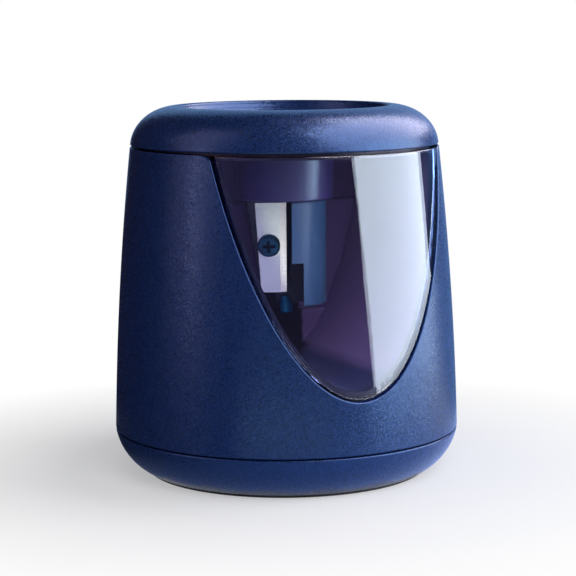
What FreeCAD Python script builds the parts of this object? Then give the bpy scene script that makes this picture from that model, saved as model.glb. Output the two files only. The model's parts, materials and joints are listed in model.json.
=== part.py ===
import FreeCAD
import Part
import math
import os
from FreeCAD import Vector

os.makedirs("parts", exist_ok=True)

# Outer form in millimetres: table at height 0, axis on Z, window towards -Y
SEAM_LOW = 10.4
SEAM_HIGH = 77.6
CAP_HEIGHT = 9.3
RADIUS_LOW = 41.05
MOTOR_SHELL_GAP = 0.15
BODY_BULGE = 0.725
SHOULDER_WIDTH = 11.0
WALL = 2.0
FOOT_PROUD = 0.6
SEAM_GAP_LOW = 0.3
SEAM_GAP_HIGH = 0.4
EDGE_ROUND = 0.35
OVER = 5.0

# U-shaped cut in the body, an ellipse carried along Y
ARCH_BOTTOM = 22.5
ARCH_CENTRE_ABOVE_SEAM = 20.1
ARCH_HALF_WIDTH = 29.6
ARCH_CORNER = 2.0

# Window and tray, measured inwards from the cut
WINDOW_GAP = 0.6
WINDOW_RECESS = 0.15
WINDOW_WALL = 1.8
WINDOW_TOP_GAP = 0.4
LINER_STEP = 0.4
LINER_WALL = 1.2
SLIDE_GAP = 0.4
TRAY_WALL = 1.4
TRAY_BACK = 9.8
TRAY_BACK_HEIGHT = 36.5
TRAY_TOP_GAP = 0.6

# Cap
CAP_DROP = 0.7
RIM_ROUND = 0.8
DISH_DEPTH = 2.7
DISH_WALL = 1.7
DISH_CORNER = 1.4
RIM_DRAFT = 0.4
RIM_WALL_HEIGHT = 0.7
RIM_UNDER_RISE = 0.6
CAP_INNER_END = 85.0
SKIRT_BITE = 0.1
SKIRT_WALL = 1.6
SKIRT_HEIGHT = 1.7
ENTRY_GUIDE = 0.15
ENTRY_WALL = 1.35
ENTRY_SLACK = 0.05
ENTRY_CHAMFER = 0.75
ENTRY_FLANGE_REACH = 1.75
ENTRY_FLANGE_HEIGHT = 0.7
ENTRY_DROP = 2.5

# Base
BASE_STEP = 0.03
BASE_CURVE_RISE = 2.4
BASE_CURVE_RADIUS = 13.5
BASE_ROUND = 1.5
FLOOR = 2.0
LIP_SLACK = 0.25
LIP_CLEAR = 0.1
LIP_WALL = 1.5
LIP_DEPTH = 2.75
LIP_HEIGHT = 3.35
FOOT_INSET = 0.1
FOOT_WIDTH = 0.9
FOOT_DEPTH = 0.8
FOOT_ROUND = 0.2

# Deck, collar and bush
DECK_SLACK = 0.3
DECK_THICK = 1.6
COLLAR_LENGTH = 13.0
COLLAR_OUTER = 11.75
COLLAR_INNER = 9.0
COLLAR_FLANGE_GAP = 0.5
COLLAR_FLANGE_THICK = 0.8
COLLAR_ROUND = 0.6
BUSH_WALL = 1.95
BUSH_FLANGE_REACH = 1.5
BUSH_FLANGE_THICK = 0.3
RUN_GAP = 0.05
AXIAL_GAP = 0.3
SEAT_SLACK = 0.1

# Cutter: the blade faces the direction BLADE_TURN from the window
BLADE_TURN = -25.0
PENCIL_BORE = 4.4
TIP_RADIUS = 0.6
CONE_LENGTH = 22.0
CONE_RISE = 1.5
HOLDER_RADIUS = 9.75
HOLDER_HEIGHT = 24.6
HOLDER_TAPER_RADIUS = 5.6
HOLDER_LEFT_HEIGHT = 21.6
HOLDER_ROUND = 0.5
MOUTH_START = 0.4
MOUTH_END = 1.6
NOTCH_END = 4.4
NOTCH_HEIGHT = 10.3
BLADE_LENGTH = 22.1
BLADE_WIDTH = 7.1
BLADE_FOOT_WIDTH = 5.7
BLADE_THICK = 0.6
BLADE_BEVEL = 1.6
BLADE_EDGE = 0.08
BLADE_CORNER = 1.2
BLADE_TOP_GAP = 0.3
BLADE_SCREW_SIDE = 3.85
BLADE_SCREW_DROP = 10.4
BLADE_SCREW_HEAD = 2.7
BLADE_SCREW_HEAD_HEIGHT = 1.3
BLADE_SCREW_ROUND = 0.78
BLADE_SCREW_SHANK = 1.25
BLADE_SCREW_LENGTH = 4.0
CROSS_SPAN = 2.9
CROSS_WIDTH = 0.75
CROSS_DEPTH = 0.8
STOP_BOSS = 2.4
STOP_HEAD = 1.7
STOP_HEAD_HEIGHT = 2.7
STOP_ROUND = 0.6
STOP_SHANK = 1.25
STOP_LENGTH = 1.6
SCREW_SLACK = 0.05

# Gear train in two layers above the deck
GEAR_ELBOW = 0.7
PRESSURE_ANGLE = 25.0
ADDENDUM = 0.8
DEDENDUM = 1.05
BACKLASH = 0.08
FLANK_STEPS = 4
CUTTER_TEETH = 48
IDLER_SMALL_TEETH = 12
IDLER_LARGE_TEETH = 30
PINION_TEETH = 10
LAYER_THICK = 1.8
TOP_LAYER_THICK = 1.6
LAYER_GAP = 0.4
AXLE_RADIUS = 1.0
AXLE_SLACK = 0.03
AXLE_TOP_GAP = 0.2

# Motor
MOTOR_GAP = 0.55
MOTOR_ROUND = 10.05
MOTOR_FLAT = 7.55
MOTOR_LENGTH = 25.2
MOTOR_CAP = 3.0
MOTOR_BOSS = 3.0
MOTOR_BOSS_HEIGHT = 1.5
SHAFT_TAIL = 1.5
SHAFT_SLACK = 0.05
TERMINAL_SPREAD = 4.0
TERMINAL_WIDTH = 2.0
TERMINAL_THICK = 0.5
TERMINAL_LENGTH = 3.5
MOTOR_SCREW_SPOTS = ((-5.2, -3.8), (5.2, 3.8))
MOTOR_SCREW_HEAD = 1.9
MOTOR_SCREW_HEAD_HEIGHT = 1.2
MOTOR_SCREW_SHANK = 1.0
MOTOR_SCREW_DEPTH = 2.0

# Battery cells and their sleeves
CELL_RADIUS = 7.25
CELL_LENGTH = 50.5
CELL_NUB = 2.75
CELL_NUB_HEIGHT = 1.0
CELL_BOTTOM = 4.6
CELL_ROUND = 0.6
SLEEVE_SLACK = 0.25
SLEEVE_WALL = 0.9
SLEEVE_BITE = 0.05
SLEEVE_MOTOR_GAP = 0.35
SLEEVE_LID = 1.0
SLEEVE_LOW_GAP = 0.2
CONTACT_THICK = 0.4
CONTACT_RADIUS = 5.0
CONTACT_DIMPLE = 2.0
CONTACT_DIMPLE_HEIGHT = 0.5

# Chassis partition behind the tray
TRAY_BACK_GAP = 0.6
PARTITION_THICK = 1.3
UPPER_WALL_GAP = 0.75
UPPER_WALL_THICK = 1.2
SHELF_BELOW_COLLAR = 2.0
SHELF_THICK = 1.0
CHASSIS_GAP = 0.1

# Battery door
DOOR_SIDE = 1.6
DOOR_FOOT_GAP = 0.4
DOOR_GAP = 0.25
DOOR_HINGE_GAP = 0.4
DOOR_THICK = 1.6
DOOR_PIN = 0.6
DOOR_PIN_REACH = 1.5
DOOR_PAD = 6.5
DOOR_BRIDGE = 4.0
FINGER_RADIUS = 6.0
FINGER_DEPTH = 0.8
FINGER_REACH = 2.5

# Fastenings
BASE_SCREW_ANGLES = (-162.0, -18.0, -115.0, -65.0)
BASE_SCREW_INSET = 0.5
HEAD_SCREW_WALL_GAP = 1.85
HEAD_SCREW_BACK_ANGLE = 22.0
HEAD_SCREW_INSET = 2.2
POST_RADIUS = 3.2
POST_TOP = 30.0
RIB_THICK = 1.6
RIB_LOW = 14.2
PILLAR_RADIUS = 4.0
SCREW_RADIUS = 1.2
SCREW_HEAD = 2.4
SCREW_HEAD_HEIGHT = 1.8
SCREW_HEAD_ROUND = 0.6
COUNTERBORE = 2.7
COUNTERBORE_DEPTH = 5.4
BASE_SCREW_BITE = 8.0
HEAD_BOSS_RADIUS = 2.8
HEAD_BOSS_HEIGHT = 12.0
HEAD_SCREW_BITE = 3.0
DRIVE_SPAN = 2.8
DRIVE_WIDTH = 0.7
DRIVE_DEPTH = 0.9

# Start lever and switches
LEVER_BORE_GAP = 0.15
LEVER_FLANGE_GAP = 1.5
LEVER_HALF_WIDTH = 1.1
LEVER_THICK = 1.0
LEVER_END = 1.2
LEVER_BITE = 0.85
LEVER_TAIL = 8.0
LEVER_HUB = 2.2
LEVER_SLACK = 0.05
LEVER_BUTTON_ARM = 7.0
START_SWITCH_LENGTH = 6.6
START_SWITCH_WIDTH = 6.0
START_SWITCH_TOP_GAP = 0.3
BUTTON_RADIUS = 0.8
BUTTON_SLACK = 0.1
BUTTON_LENGTH = 2.9
BUTTON_STICK_OUT = 0.9
BUTTON_GAP = 0.1
BUTTON_ROOM = 1.0
SAFETY_HEIGHT = 30.0
SAFETY_HALF_WIDTH = 3.2
SAFETY_HALF_HEIGHT = 4.0
SAFETY_DEPTH = 5.6
PLUNGER_RADIUS = 1.0
PLUNGER_SLACK = 0.1
PLUNGER_LENGTH = 4.6
PLUNGER_GAP = 0.2
PARTITION_HOLE_SLACK = 0.3

# Leads
LEAD_RADIUS = 0.6
LEAD_BEND = 2.4
LEAD_SLACK = 0.2
LEAD_HOLE = 1.6
CONTACT_LEAD_OFFSET = 3.35
REAR_LANE_GAP = 1.35
DECK_LANE_SUPPLY = (-20.0, 2.0)
DECK_LANE_LINK = (-16.0, 1.0)
LINK_DROP = (-12.2, 25.5)
SUPPLY_TURN = 9.6
LINK_TURN = 6.6
SWITCH_LEAD_SPREAD = 1.6

# Heights that follow from the sizes above
CREST_HEIGHT = SEAM_HIGH + CAP_HEIGHT
BASE_BOTTOM = FOOT_PROUD
BASE_TOP = SEAM_LOW - SEAM_GAP_LOW / 2
FLOOR_TOP = BASE_BOTTOM + FLOOR
SHELL_BOTTOM = SEAM_LOW + SEAM_GAP_LOW / 2
SHELL_TOP = SEAM_HIGH - SEAM_GAP_HIGH / 2
CAP_BOTTOM = SEAM_HIGH + SEAM_GAP_HIGH / 2
CAP_SPRING = CAP_BOTTOM - CAP_DROP
DISH_FLOOR = CREST_HEIGHT - DISH_DEPTH
DISH_UNDER = DISH_FLOOR - DISH_WALL
ENTRY_BOTTOM = DISH_FLOOR - ENTRY_DROP
ENTRY_TOP = DISH_FLOOR + ENTRY_FLANGE_HEIGHT
DECK_TOP = CAP_BOTTOM
DECK_BOTTOM = DECK_TOP - DECK_THICK
HEAD_BOSS_LOW = DECK_BOTTOM - HEAD_BOSS_HEIGHT
COLLAR_BOTTOM = DECK_TOP - COLLAR_LENGTH
HOLDER_TOP = COLLAR_BOTTOM - AXIAL_GAP
HOLDER_BOTTOM = HOLDER_TOP - HOLDER_HEIGHT
CONE_TOP = HOLDER_TOP + CONE_RISE
CONE_TIP = CONE_TOP - CONE_LENGTH
LAYER_LOW = DECK_TOP + LAYER_GAP
LAYER_HIGH = LAYER_LOW + LAYER_THICK
TOP_LAYER_LOW = LAYER_HIGH + AXIAL_GAP
TOP_LAYER_HIGH = TOP_LAYER_LOW + TOP_LAYER_THICK
AXLE_TOP = DISH_UNDER - AXLE_TOP_GAP
LEVER_LOW = LAYER_HIGH + LAYER_GAP
LEVER_HIGH = LEVER_LOW + LEVER_THICK
MOTOR_BOTTOM = DECK_BOTTOM - MOTOR_LENGTH
SHELF_TOP = COLLAR_BOTTOM - SHELF_BELOW_COLLAR
DOOR_TOP = BASE_BOTTOM + DOOR_THICK
CELL_TOP = CELL_BOTTOM + CELL_LENGTH
DOOR_PAD_TOP = CELL_BOTTOM - CONTACT_DIMPLE_HEIGHT - CONTACT_THICK
SLEEVE_TOP = CELL_TOP + CONTACT_DIMPLE_HEIGHT + CONTACT_THICK
DECK_LANE = DECK_TOP + LEAD_RADIUS + LEAD_SLACK

# Places from the tray and the collar back to the motor and the body's upper edge
PARTITION_FRONT = TRAY_BACK + TRAY_BACK_GAP
PARTITION_BACK = PARTITION_FRONT + PARTITION_THICK
UPPER_WALL_FRONT = COLLAR_OUTER + UPPER_WALL_GAP
UPPER_WALL_BACK = UPPER_WALL_FRONT + UPPER_WALL_THICK
MOTOR_Y = UPPER_WALL_BACK + MOTOR_GAP + MOTOR_ROUND
RADIUS_HIGH = MOTOR_Y + MOTOR_ROUND + MOTOR_SHELL_GAP + WALL

# Outer radii and the U-shaped cut that follow
RADIUS_MID = (RADIUS_LOW + RADIUS_HIGH) / 2 + BODY_BULGE
CREST_RADIUS = RADIUS_HIGH - SHOULDER_WIDTH
RIM_WALL_TOP = CREST_RADIUS - RIM_ROUND
RIM_WALL_FOOT = RIM_WALL_TOP - RIM_DRAFT
DISH_RADIUS = RIM_WALL_FOOT - DISH_CORNER
SKIRT_OUTER = RADIUS_HIGH - WALL + SKIRT_BITE
SKIRT_INNER = SKIRT_OUTER - SKIRT_WALL
DECK_RADIUS = RADIUS_HIGH - WALL - DECK_SLACK
LIP_OUTER = RADIUS_LOW - WALL - LIP_SLACK
LIP_INNER = LIP_OUTER - LIP_WALL
BASE_REACH = math.sqrt(BASE_CURVE_RADIUS**2 - BASE_CURVE_RISE**2)
BASE_CURVE_CENTRE = RADIUS_LOW - BASE_STEP - BASE_REACH
BASE_ROUND_HEIGHT = BASE_BOTTOM + BASE_ROUND
BASE_ROUND_DROP = BASE_TOP + BASE_CURVE_RISE - BASE_ROUND_HEIGHT
BASE_ROUND_REACH = math.sqrt((BASE_CURVE_RADIUS - BASE_ROUND) ** 2 - BASE_ROUND_DROP**2)
BASE_FLAT = BASE_CURVE_CENTRE + BASE_ROUND_REACH
FOOT_OUTER = BASE_FLAT - FOOT_INSET
FOOT_INNER = FOOT_OUTER - FOOT_WIDTH
ARCH_CENTRE = SEAM_HIGH + ARCH_CENTRE_ABOVE_SEAM
ARCH_HALF_HEIGHT = ARCH_CENTRE - ARCH_BOTTOM
LINER_INNER = LINER_STEP
LINER_OUTER = LINER_STEP - LINER_WALL
TRAY_OUTER = LINER_INNER + SLIDE_GAP
TRAY_INNER = TRAY_OUTER + TRAY_WALL

# Inner radii and places that follow
SHANK_RADIUS = COLLAR_INNER - BUSH_WALL - RUN_GAP
BUSH_FLANGE = COLLAR_INNER + BUSH_FLANGE_REACH
ENTRY_BORE = PENCIL_BORE - ENTRY_GUIDE
ENTRY_MOUTH = ENTRY_BORE + ENTRY_CHAMFER
ENTRY_HOLE = ENTRY_BORE + ENTRY_WALL + ENTRY_SLACK
ENTRY_FLANGE = ENTRY_HOLE + ENTRY_FLANGE_REACH
SLEEVE_INNER = CELL_RADIUS + SLEEVE_SLACK
SLEEVE_OUTER = SLEEVE_INNER + SLEEVE_WALL
CELL_X = MOTOR_FLAT + SLEEVE_MOTOR_GAP + SLEEVE_OUTER
CELL_Y = PARTITION_BACK + SLEEVE_INNER - SLEEVE_BITE
DOOR_BARREL = FLOOR / 2
DOOR_HINGE_Y = CELL_Y - SLEEVE_INNER - DOOR_BARREL
DOOR_HINGE_Z = BASE_BOTTOM + DOOR_BARREL
DOOR_FRONT = DOOR_HINGE_Y - DOOR_BARREL
DOOR_HALF_WIDTH = CELL_X + SLEEVE_OUTER + DOOR_SIDE
DOOR_RADIUS = FOOT_INNER - DOOR_FOOT_GAP
BASE_SCREW_CIRCLE = FOOT_INNER - COUNTERBORE - BASE_SCREW_INSET
HEAD_SCREW_CIRCLE = DECK_RADIUS - HEAD_SCREW_INSET
LEVER_X = -(ENTRY_BORE + LEVER_BORE_GAP + LEVER_HALF_WIDTH)
LEVER_NOSE = ENTRY_BORE - LEVER_BITE
CONTACT_LEAD = (CELL_X, CELL_Y + CONTACT_LEAD_OFFSET)
REAR_LANE = (CELL_X, CELL_Y + SLEEVE_OUTER + LEAD_RADIUS + REAR_LANE_GAP)

# Gear radii and the place of the idler between cutter and motor
TEETH = CUTTER_TEETH + IDLER_SMALL_TEETH + IDLER_LARGE_TEETH + PINION_TEETH
MODULE = 2 * (MOTOR_Y + GEAR_ELBOW) / TEETH
CUTTER_PITCH = MODULE * CUTTER_TEETH / 2
IDLER_SMALL_PITCH = MODULE * IDLER_SMALL_TEETH / 2
IDLER_LARGE_PITCH = MODULE * IDLER_LARGE_TEETH / 2
PINION_PITCH = MODULE * PINION_TEETH / 2
CUTTER_TO_IDLER = CUTTER_PITCH + IDLER_SMALL_PITCH
IDLER_TO_MOTOR = IDLER_LARGE_PITCH + PINION_PITCH
IDLER_Y = (CUTTER_TO_IDLER**2 - IDLER_TO_MOTOR**2 + MOTOR_Y**2) / (2 * MOTOR_Y)
IDLER_X = math.sqrt(CUTTER_TO_IDLER**2 - IDLER_Y**2)
MOTOR = (0.0, MOTOR_Y)
IDLER = (IDLER_X, IDLER_Y)
COLLAR_FLANGE = CUTTER_TO_IDLER - AXLE_RADIUS - COLLAR_FLANGE_GAP
LEVER_Y = -(COLLAR_FLANGE + LEVER_FLANGE_GAP)
START_BUTTON_Y = LEVER_Y - LEVER_BUTTON_ARM

Z = Vector(0, 0, 1)


# Small helpers


def at(point):
    return Vector(point[0], 0, point[1])


def line(a, b):
    return Part.makeLine(at(a), at(b))


def arc(a, via, b):
    return Part.Arc(at(a), at(via), at(b)).toShape()


def path(*points):
    return [line(a, b) for a, b in zip(points, points[1:])]


def turned(edges):
    """Solid turned about Z from the edges of one closed (radius, height) outline."""
    wire = Part.Wire(Part.__sortEdges__(edges))
    return Part.Face(wire).revolve(Vector(), Z, 360)


def turned_points(*points):
    return turned(path(*points, points[0]))


def cylinder(radius, low, high, spot=(0, 0)):
    return Part.makeCylinder(radius, high - low, Vector(spot[0], spot[1], low))


def tube(outer, inner, low, high, spot=(0, 0)):
    return cylinder(outer, low, high, spot).cut(cylinder(inner, low, high, spot))


def block(x_low, x_high, y_low, y_high, low, high):
    size = (x_high - x_low, y_high - y_low, high - low)
    return Part.makeBox(*size, Vector(x_low, y_low, low))


def joined(shapes):
    return shapes[0].multiFuse(shapes[1:]).removeSplitter()


def rod(radius, start, end):
    """Cylinder between two points."""
    along = Vector(*end) - Vector(*start)
    return Part.makeCylinder(radius, along.Length, Vector(*start), along)


def on_circle(radius, angles):
    """Places on a circle about the axis, from angles in degrees."""
    turns = [math.radians(angle) for angle in angles]
    return [(radius * math.cos(turn), radius * math.sin(turn)) for turn in turns]


def head_screw_angles():
    """One pair beside the upper wall, one pair at the back."""
    reach = UPPER_WALL_BACK + HEAD_BOSS_RADIUS + HEAD_SCREW_WALL_GAP
    side = math.degrees(math.asin(reach / HEAD_SCREW_CIRCLE))
    back = 90 - HEAD_SCREW_BACK_ANGLE
    return (180 - side, side, 180 - back, back)


BASE_SCREW_SPOTS = on_circle(BASE_SCREW_CIRCLE, BASE_SCREW_ANGLES)
HEAD_SCREW_SPOTS = on_circle(HEAD_SCREW_CIRCLE, head_screw_angles())


def ends_at(edge, height):
    return all(abs(v.Z - height) < 1e-3 for v in edge.Vertexes)


def is_ring(edge, radius, height):
    """True for a circle about Z of this radius at this height."""
    curve = edge.Curve
    return (
        isinstance(curve, Part.Circle)
        and abs(curve.Radius - radius) < 1e-3
        and abs(curve.Center.z - height) < 1e-3
    )


def ring_rounded(solid, radius, *rings):
    """Rounds the circles about Z that are given as (radius, height)."""
    edges = [e for e in solid.Edges for r, h in rings if is_ring(e, r, h)]
    return solid.makeFillet(radius, edges)


def cross_recess(span, width, low, high, spot=(0, 0)):
    """Cutter for a cross-shaped screw recess."""
    bars = [(span / 2, width / 2), (width / 2, span / 2)]
    x, y = spot
    return joined([block(x - a, x + a, y - b, y + b, low, high) for a, b in bars])


def pan_screw(head, head_height, shank, low, high, spot):
    """Screw with its head above low and its shank up to high."""
    top = low + head_height
    body = ring_rounded(cylinder(head, low, top), SCREW_HEAD_ROUND, (head, low))
    recess = cross_recess(DRIVE_SPAN, DRIVE_WIDTH, low - OVER, low + DRIVE_DEPTH)
    solid = body.cut(recess).fuse(cylinder(shank, top, high))
    return solid.translated(Vector(spot[0], spot[1], 0))


# Outer curve of the body


def circle_through(a, b, c):
    """Centre and radius of the circle through three (radius, height) points."""
    circle = Part.Circle(at(a), at(b), at(c))
    return circle.Center.x, circle.Center.z, circle.Radius


BODY_CURVE = circle_through(
    (RADIUS_LOW, SEAM_LOW),
    (RADIUS_MID, (SEAM_LOW + SEAM_HIGH) / 2),
    (RADIUS_HIGH, SEAM_HIGH),
)


def body_radius(height, inset=0.0):
    centre, centre_height, radius = BODY_CURVE
    return centre + math.sqrt((radius - inset) ** 2 - (height - centre_height) ** 2)


def body_solid(inset, low, high):
    """Everything inside the body's outer curve, moved in by inset."""
    points = [(body_radius(h, inset), h) for h in (low, (low + high) / 2, high)]
    return turned([arc(*points)] + path(points[2], (0, high), (0, low), points[0]))


def arch(inset, y_low, y_high):
    """The U-shaped cut, moved in by inset, carried along Y."""
    centre = Vector(0, y_low, ARCH_CENTRE)
    tip = centre - Vector(0, 0, ARCH_HALF_HEIGHT - inset)
    side = centre + Vector(ARCH_HALF_WIDTH - inset, 0, 0)
    outline = Part.Ellipse(tip, side, centre).toShape()
    return Part.Face(Part.Wire(outline)).extrude(Vector(0, y_high - y_low, 0))


def on_curve(edge, inset):
    """True where an edge lies on the body's outer curve moved in by inset."""
    points = edge.discretize(7)
    return all(abs(math.hypot(p.x, p.y) - body_radius(p.z, inset)) < 0.01 for p in points)


def borders_two_faces(solid, edge):
    """False for the seam of a turned face."""
    return len([f for f in solid.Faces if any(edge.isSame(e) for e in f.Edges)]) == 2


def flared_arch(inset, y_low, y_high, top, corner):
    """The U-shaped cut, rounded outwards where its sides meet the top."""
    above = block(-RADIUS_LOW, RADIUS_LOW, y_low, y_high, top, top + OVER)
    cut = joined([arch(inset, y_low, y_high), above])
    sides = [e for e in cut.Edges if ends_at(e, top) and e.BoundBox.XLength < 1e-3]
    return cut.makeFillet(corner, [e for e in sides if e.BoundBox.XMax < ARCH_HALF_WIDTH])


def outer_rounded(solid, inset):
    """Rounds the edges that lie on the outer curve."""
    edges = [e for e in solid.Edges if on_curve(e, inset) and e.Length > EDGE_ROUND]
    return solid.makeFillet(EDGE_ROUND, [e for e in edges if borders_two_faces(solid, e)])


# Outer pieces


def screw_hole(low, high, spot):
    return cylinder(SCREW_RADIUS + SCREW_SLACK, low, high, spot)


def ribbed_post(radius, low, high, rib_low, rib_high, spot):
    """Screw post tied to the body's wall by a rib."""
    post = cylinder(radius, low, high, spot)
    reach = math.hypot(*spot)
    rib = block(reach, reach + RADIUS_LOW, -RIB_THICK / 2, RIB_THICK / 2, rib_low, rib_high)
    rib.rotate(Vector(), Z, math.degrees(math.atan2(spot[1], spot[0])))
    return post.fuse(rib)


def body_shell():
    wall = body_solid(0, SHELL_BOTTOM, SHELL_TOP)
    wall = wall.cut(body_solid(WALL, SHELL_BOTTOM - OVER, SHELL_TOP + OVER))
    wall = wall.cut(flared_arch(0, -RADIUS_LOW - OVER, 0, SHELL_TOP, ARCH_CORNER))
    wall = outer_rounded(wall, 0)
    inside = body_solid(WALL / 2, SHELL_BOTTOM, DECK_BOTTOM)
    liner = arch(LINER_OUTER, -RADIUS_LOW - OVER, PARTITION_BACK)
    posts = []
    for spot in BASE_SCREW_SPOTS:
        post = ribbed_post(POST_RADIUS, SHELL_BOTTOM, POST_TOP, RIB_LOW, POST_TOP, spot)
        posts.append(post.cut(liner))
    for spot in HEAD_SCREW_SPOTS:
        heights = (HEAD_BOSS_LOW, DECK_BOTTOM)
        posts.append(ribbed_post(HEAD_BOSS_RADIUS, *heights, *heights, spot))
    shell = joined([wall] + [post.common(inside) for post in posts])
    for spot in BASE_SCREW_SPOTS:
        shell = shell.cut(screw_hole(0, SHELL_BOTTOM + BASE_SCREW_BITE, spot))
    for spot in HEAD_SCREW_SPOTS:
        shell = shell.cut(screw_hole(HEAD_BOSS_LOW - OVER, SHELL_TOP, spot))
    return shell


def cap_ellipse(inset, low, high):
    """Outer curve of the cap between two angles from its foot, moved in by inset."""
    centre = (CREST_RADIUS, CAP_SPRING)
    side = (RADIUS_HIGH - inset, CAP_SPRING)
    crest = (CREST_RADIUS, CREST_HEIGHT - inset)
    curve = Part.Ellipse(at(side), at(crest), at(centre))
    turn = 1 if curve.Axis.y < 0 else -1
    ends = sorted((turn * low, turn * high))
    return Part.ArcOfEllipse(curve, ends[0], ends[1]).toShape()


def cap_point(inset, angle):
    across = RADIUS_HIGH - inset - CREST_RADIUS
    rise = CREST_HEIGHT - inset - CAP_SPRING
    return (CREST_RADIUS + across * math.cos(angle), CAP_SPRING + rise * math.sin(angle))


def cap_foot(inset):
    return math.asin(CAP_DROP / (CREST_HEIGHT - inset - CAP_SPRING))


def top_cap():
    crest = math.pi / 2
    inner_end = math.radians(CAP_INNER_END)
    rim_low = CREST_HEIGHT - RIM_ROUND
    slant = RIM_ROUND * math.sqrt(0.5)
    rim_via = (CREST_RADIUS - slant, rim_low + slant)
    wall_foot = (RIM_WALL_FOOT, rim_low - RIM_WALL_HEIGHT)
    rise = wall_foot[1] - DISH_FLOOR
    bend = (DISH_CORNER**2 + rise**2) / (2 * rise)
    half = math.atan2(DISH_CORNER, bend - rise) / 2
    floor_via = (DISH_RADIUS + bend * math.sin(half), DISH_FLOOR + bend * (1 - math.cos(half)))
    dish = [arc((CREST_RADIUS, CREST_HEIGHT), rim_via, (RIM_WALL_TOP, rim_low))]
    dish += path((RIM_WALL_TOP, rim_low), wall_foot)
    dish += [arc(wall_foot, floor_via, (DISH_RADIUS, DISH_FLOOR))]
    dish += path(
        (DISH_RADIUS, DISH_FLOOR),
        (ENTRY_HOLE, DISH_FLOOR),
        (ENTRY_HOLE, DISH_UNDER),
        (DISH_RADIUS - RIM_ROUND, DISH_UNDER),
        (RIM_WALL_TOP, DISH_UNDER + RIM_UNDER_RISE),
        cap_point(WALL, inner_end),
    )
    foot = path(cap_point(WALL, cap_foot(WALL)), cap_point(0, cap_foot(0)))
    outer = [cap_ellipse(0, cap_foot(0), crest)]
    inner = [cap_ellipse(WALL, cap_foot(WALL), inner_end)]
    cap = turned(dish + foot + outer + inner)
    cap = ring_rounded(cap, EDGE_ROUND, (cap_point(0, cap_foot(0))[0], CAP_BOTTOM))
    full = turned(
        [cap_ellipse(WALL / 2, cap_foot(WALL / 2), crest)]
        + path(
            cap_point(WALL / 2, crest),
            (0, CREST_HEIGHT - WALL / 2),
            (0, CAP_BOTTOM),
            cap_point(WALL / 2, cap_foot(WALL / 2)),
        )
    )
    skirt = tube(SKIRT_OUTER, SKIRT_INNER, CAP_BOTTOM, CAP_BOTTOM + SKIRT_HEIGHT)
    bosses = [
        cylinder(HEAD_BOSS_RADIUS, CAP_BOTTOM, DISH_FLOOR, spot).common(full)
        for spot in HEAD_SCREW_SPOTS
    ]
    cap = joined([cap, skirt] + bosses)
    for spot in HEAD_SCREW_SPOTS:
        cap = cap.cut(screw_hole(CAP_BOTTOM - OVER, DECK_TOP + HEAD_SCREW_BITE, spot))
    return cap


def entry_ring():
    outer = ENTRY_HOLE - ENTRY_SLACK
    mouth = ENTRY_TOP - ENTRY_CHAMFER
    ring = turned_points(
        (ENTRY_BORE, ENTRY_BOTTOM),
        (outer, ENTRY_BOTTOM),
        (outer, DISH_FLOOR),
        (ENTRY_FLANGE, DISH_FLOOR),
        (ENTRY_FLANGE, ENTRY_TOP),
        (ENTRY_MOUTH, ENTRY_TOP),
        (ENTRY_BORE, mouth),
    )
    return ring_rounded(ring, EDGE_ROUND, (ENTRY_FLANGE, ENTRY_TOP), (ENTRY_MOUTH, ENTRY_TOP))


def base_curve_radius(height, inset=0.0):
    rise = height - BASE_TOP - BASE_CURVE_RISE
    return BASE_CURVE_CENTRE + math.sqrt((BASE_CURVE_RADIUS - inset) ** 2 - rise**2)


def base_outline():
    """Outer curve of the base: flat, large round and side, as edges."""
    turn = math.atan2(BASE_ROUND_DROP, BASE_ROUND_REACH)
    half = (turn + math.pi / 2) / 2
    ends = [(BASE_FLAT, BASE_BOTTOM)]
    for angle in (half, turn):
        across = BASE_FLAT + BASE_ROUND * math.cos(angle)
        ends.append((across, BASE_ROUND_HEIGHT - BASE_ROUND * math.sin(angle)))
    middle = (ends[-1][1] + BASE_TOP) / 2
    side = [(base_curve_radius(h), h) for h in (middle, BASE_TOP)]
    return path((0, BASE_BOTTOM), ends[0]) + [arc(*ends), arc(ends[-1], *side)]


def base_cover():
    heights = (FLOOR_TOP, (FLOOR_TOP + BASE_TOP) / 2, BASE_TOP)
    inside = [(base_curve_radius(h, WALL), h) for h in heights]
    rim = path((base_curve_radius(BASE_TOP), BASE_TOP), inside[-1])
    floor = path(inside[0], (0, FLOOR_TOP), (0, BASE_BOTTOM))
    base = turned(base_outline() + rim + [arc(*inside)] + floor)
    base = ring_rounded(base, EDGE_ROUND, (base_curve_radius(BASE_TOP), BASE_TOP))
    lip_top = BASE_TOP + LIP_HEIGHT
    lip = tube(LIP_OUTER, LIP_INNER, BASE_TOP - LIP_DEPTH, lip_top)
    lip = lip.common(body_solid(WALL + LIP_CLEAR, BASE_TOP - LIP_DEPTH, lip_top))
    pillars = [cylinder(PILLAR_RADIUS, FLOOR_TOP, SHELL_BOTTOM, spot) for spot in BASE_SCREW_SPOTS]
    base = joined([base, lip] + pillars)
    for spot in BASE_SCREW_SPOTS:
        base = base.cut(cylinder(COUNTERBORE, 0, BASE_BOTTOM + COUNTERBORE_DEPTH, spot))
        base = base.cut(screw_hole(0, SHELL_BOTTOM, spot))
    base = base.cut(tube(FOOT_OUTER, FOOT_INNER, 0, BASE_BOTTOM + FOOT_DEPTH))
    base = base.cut(door_plan(DOOR_FRONT - DOOR_HINGE_GAP, DOOR_GAP, 0, FLOOR_TOP + OVER))
    return base.cut(hinge_rod(DOOR_PIN + RUN_GAP, DOOR_HALF_WIDTH + DOOR_PIN_REACH + DOOR_GAP))


def door_plan(front, outset, low, high):
    """Outline of the battery door from a front line, its other edges moved out by outset."""
    half = DOOR_HALF_WIDTH + outset
    sides = block(-half, half, front, RADIUS_LOW, low, high)
    return sides.common(cylinder(DOOR_RADIUS + outset, low, high))


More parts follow.
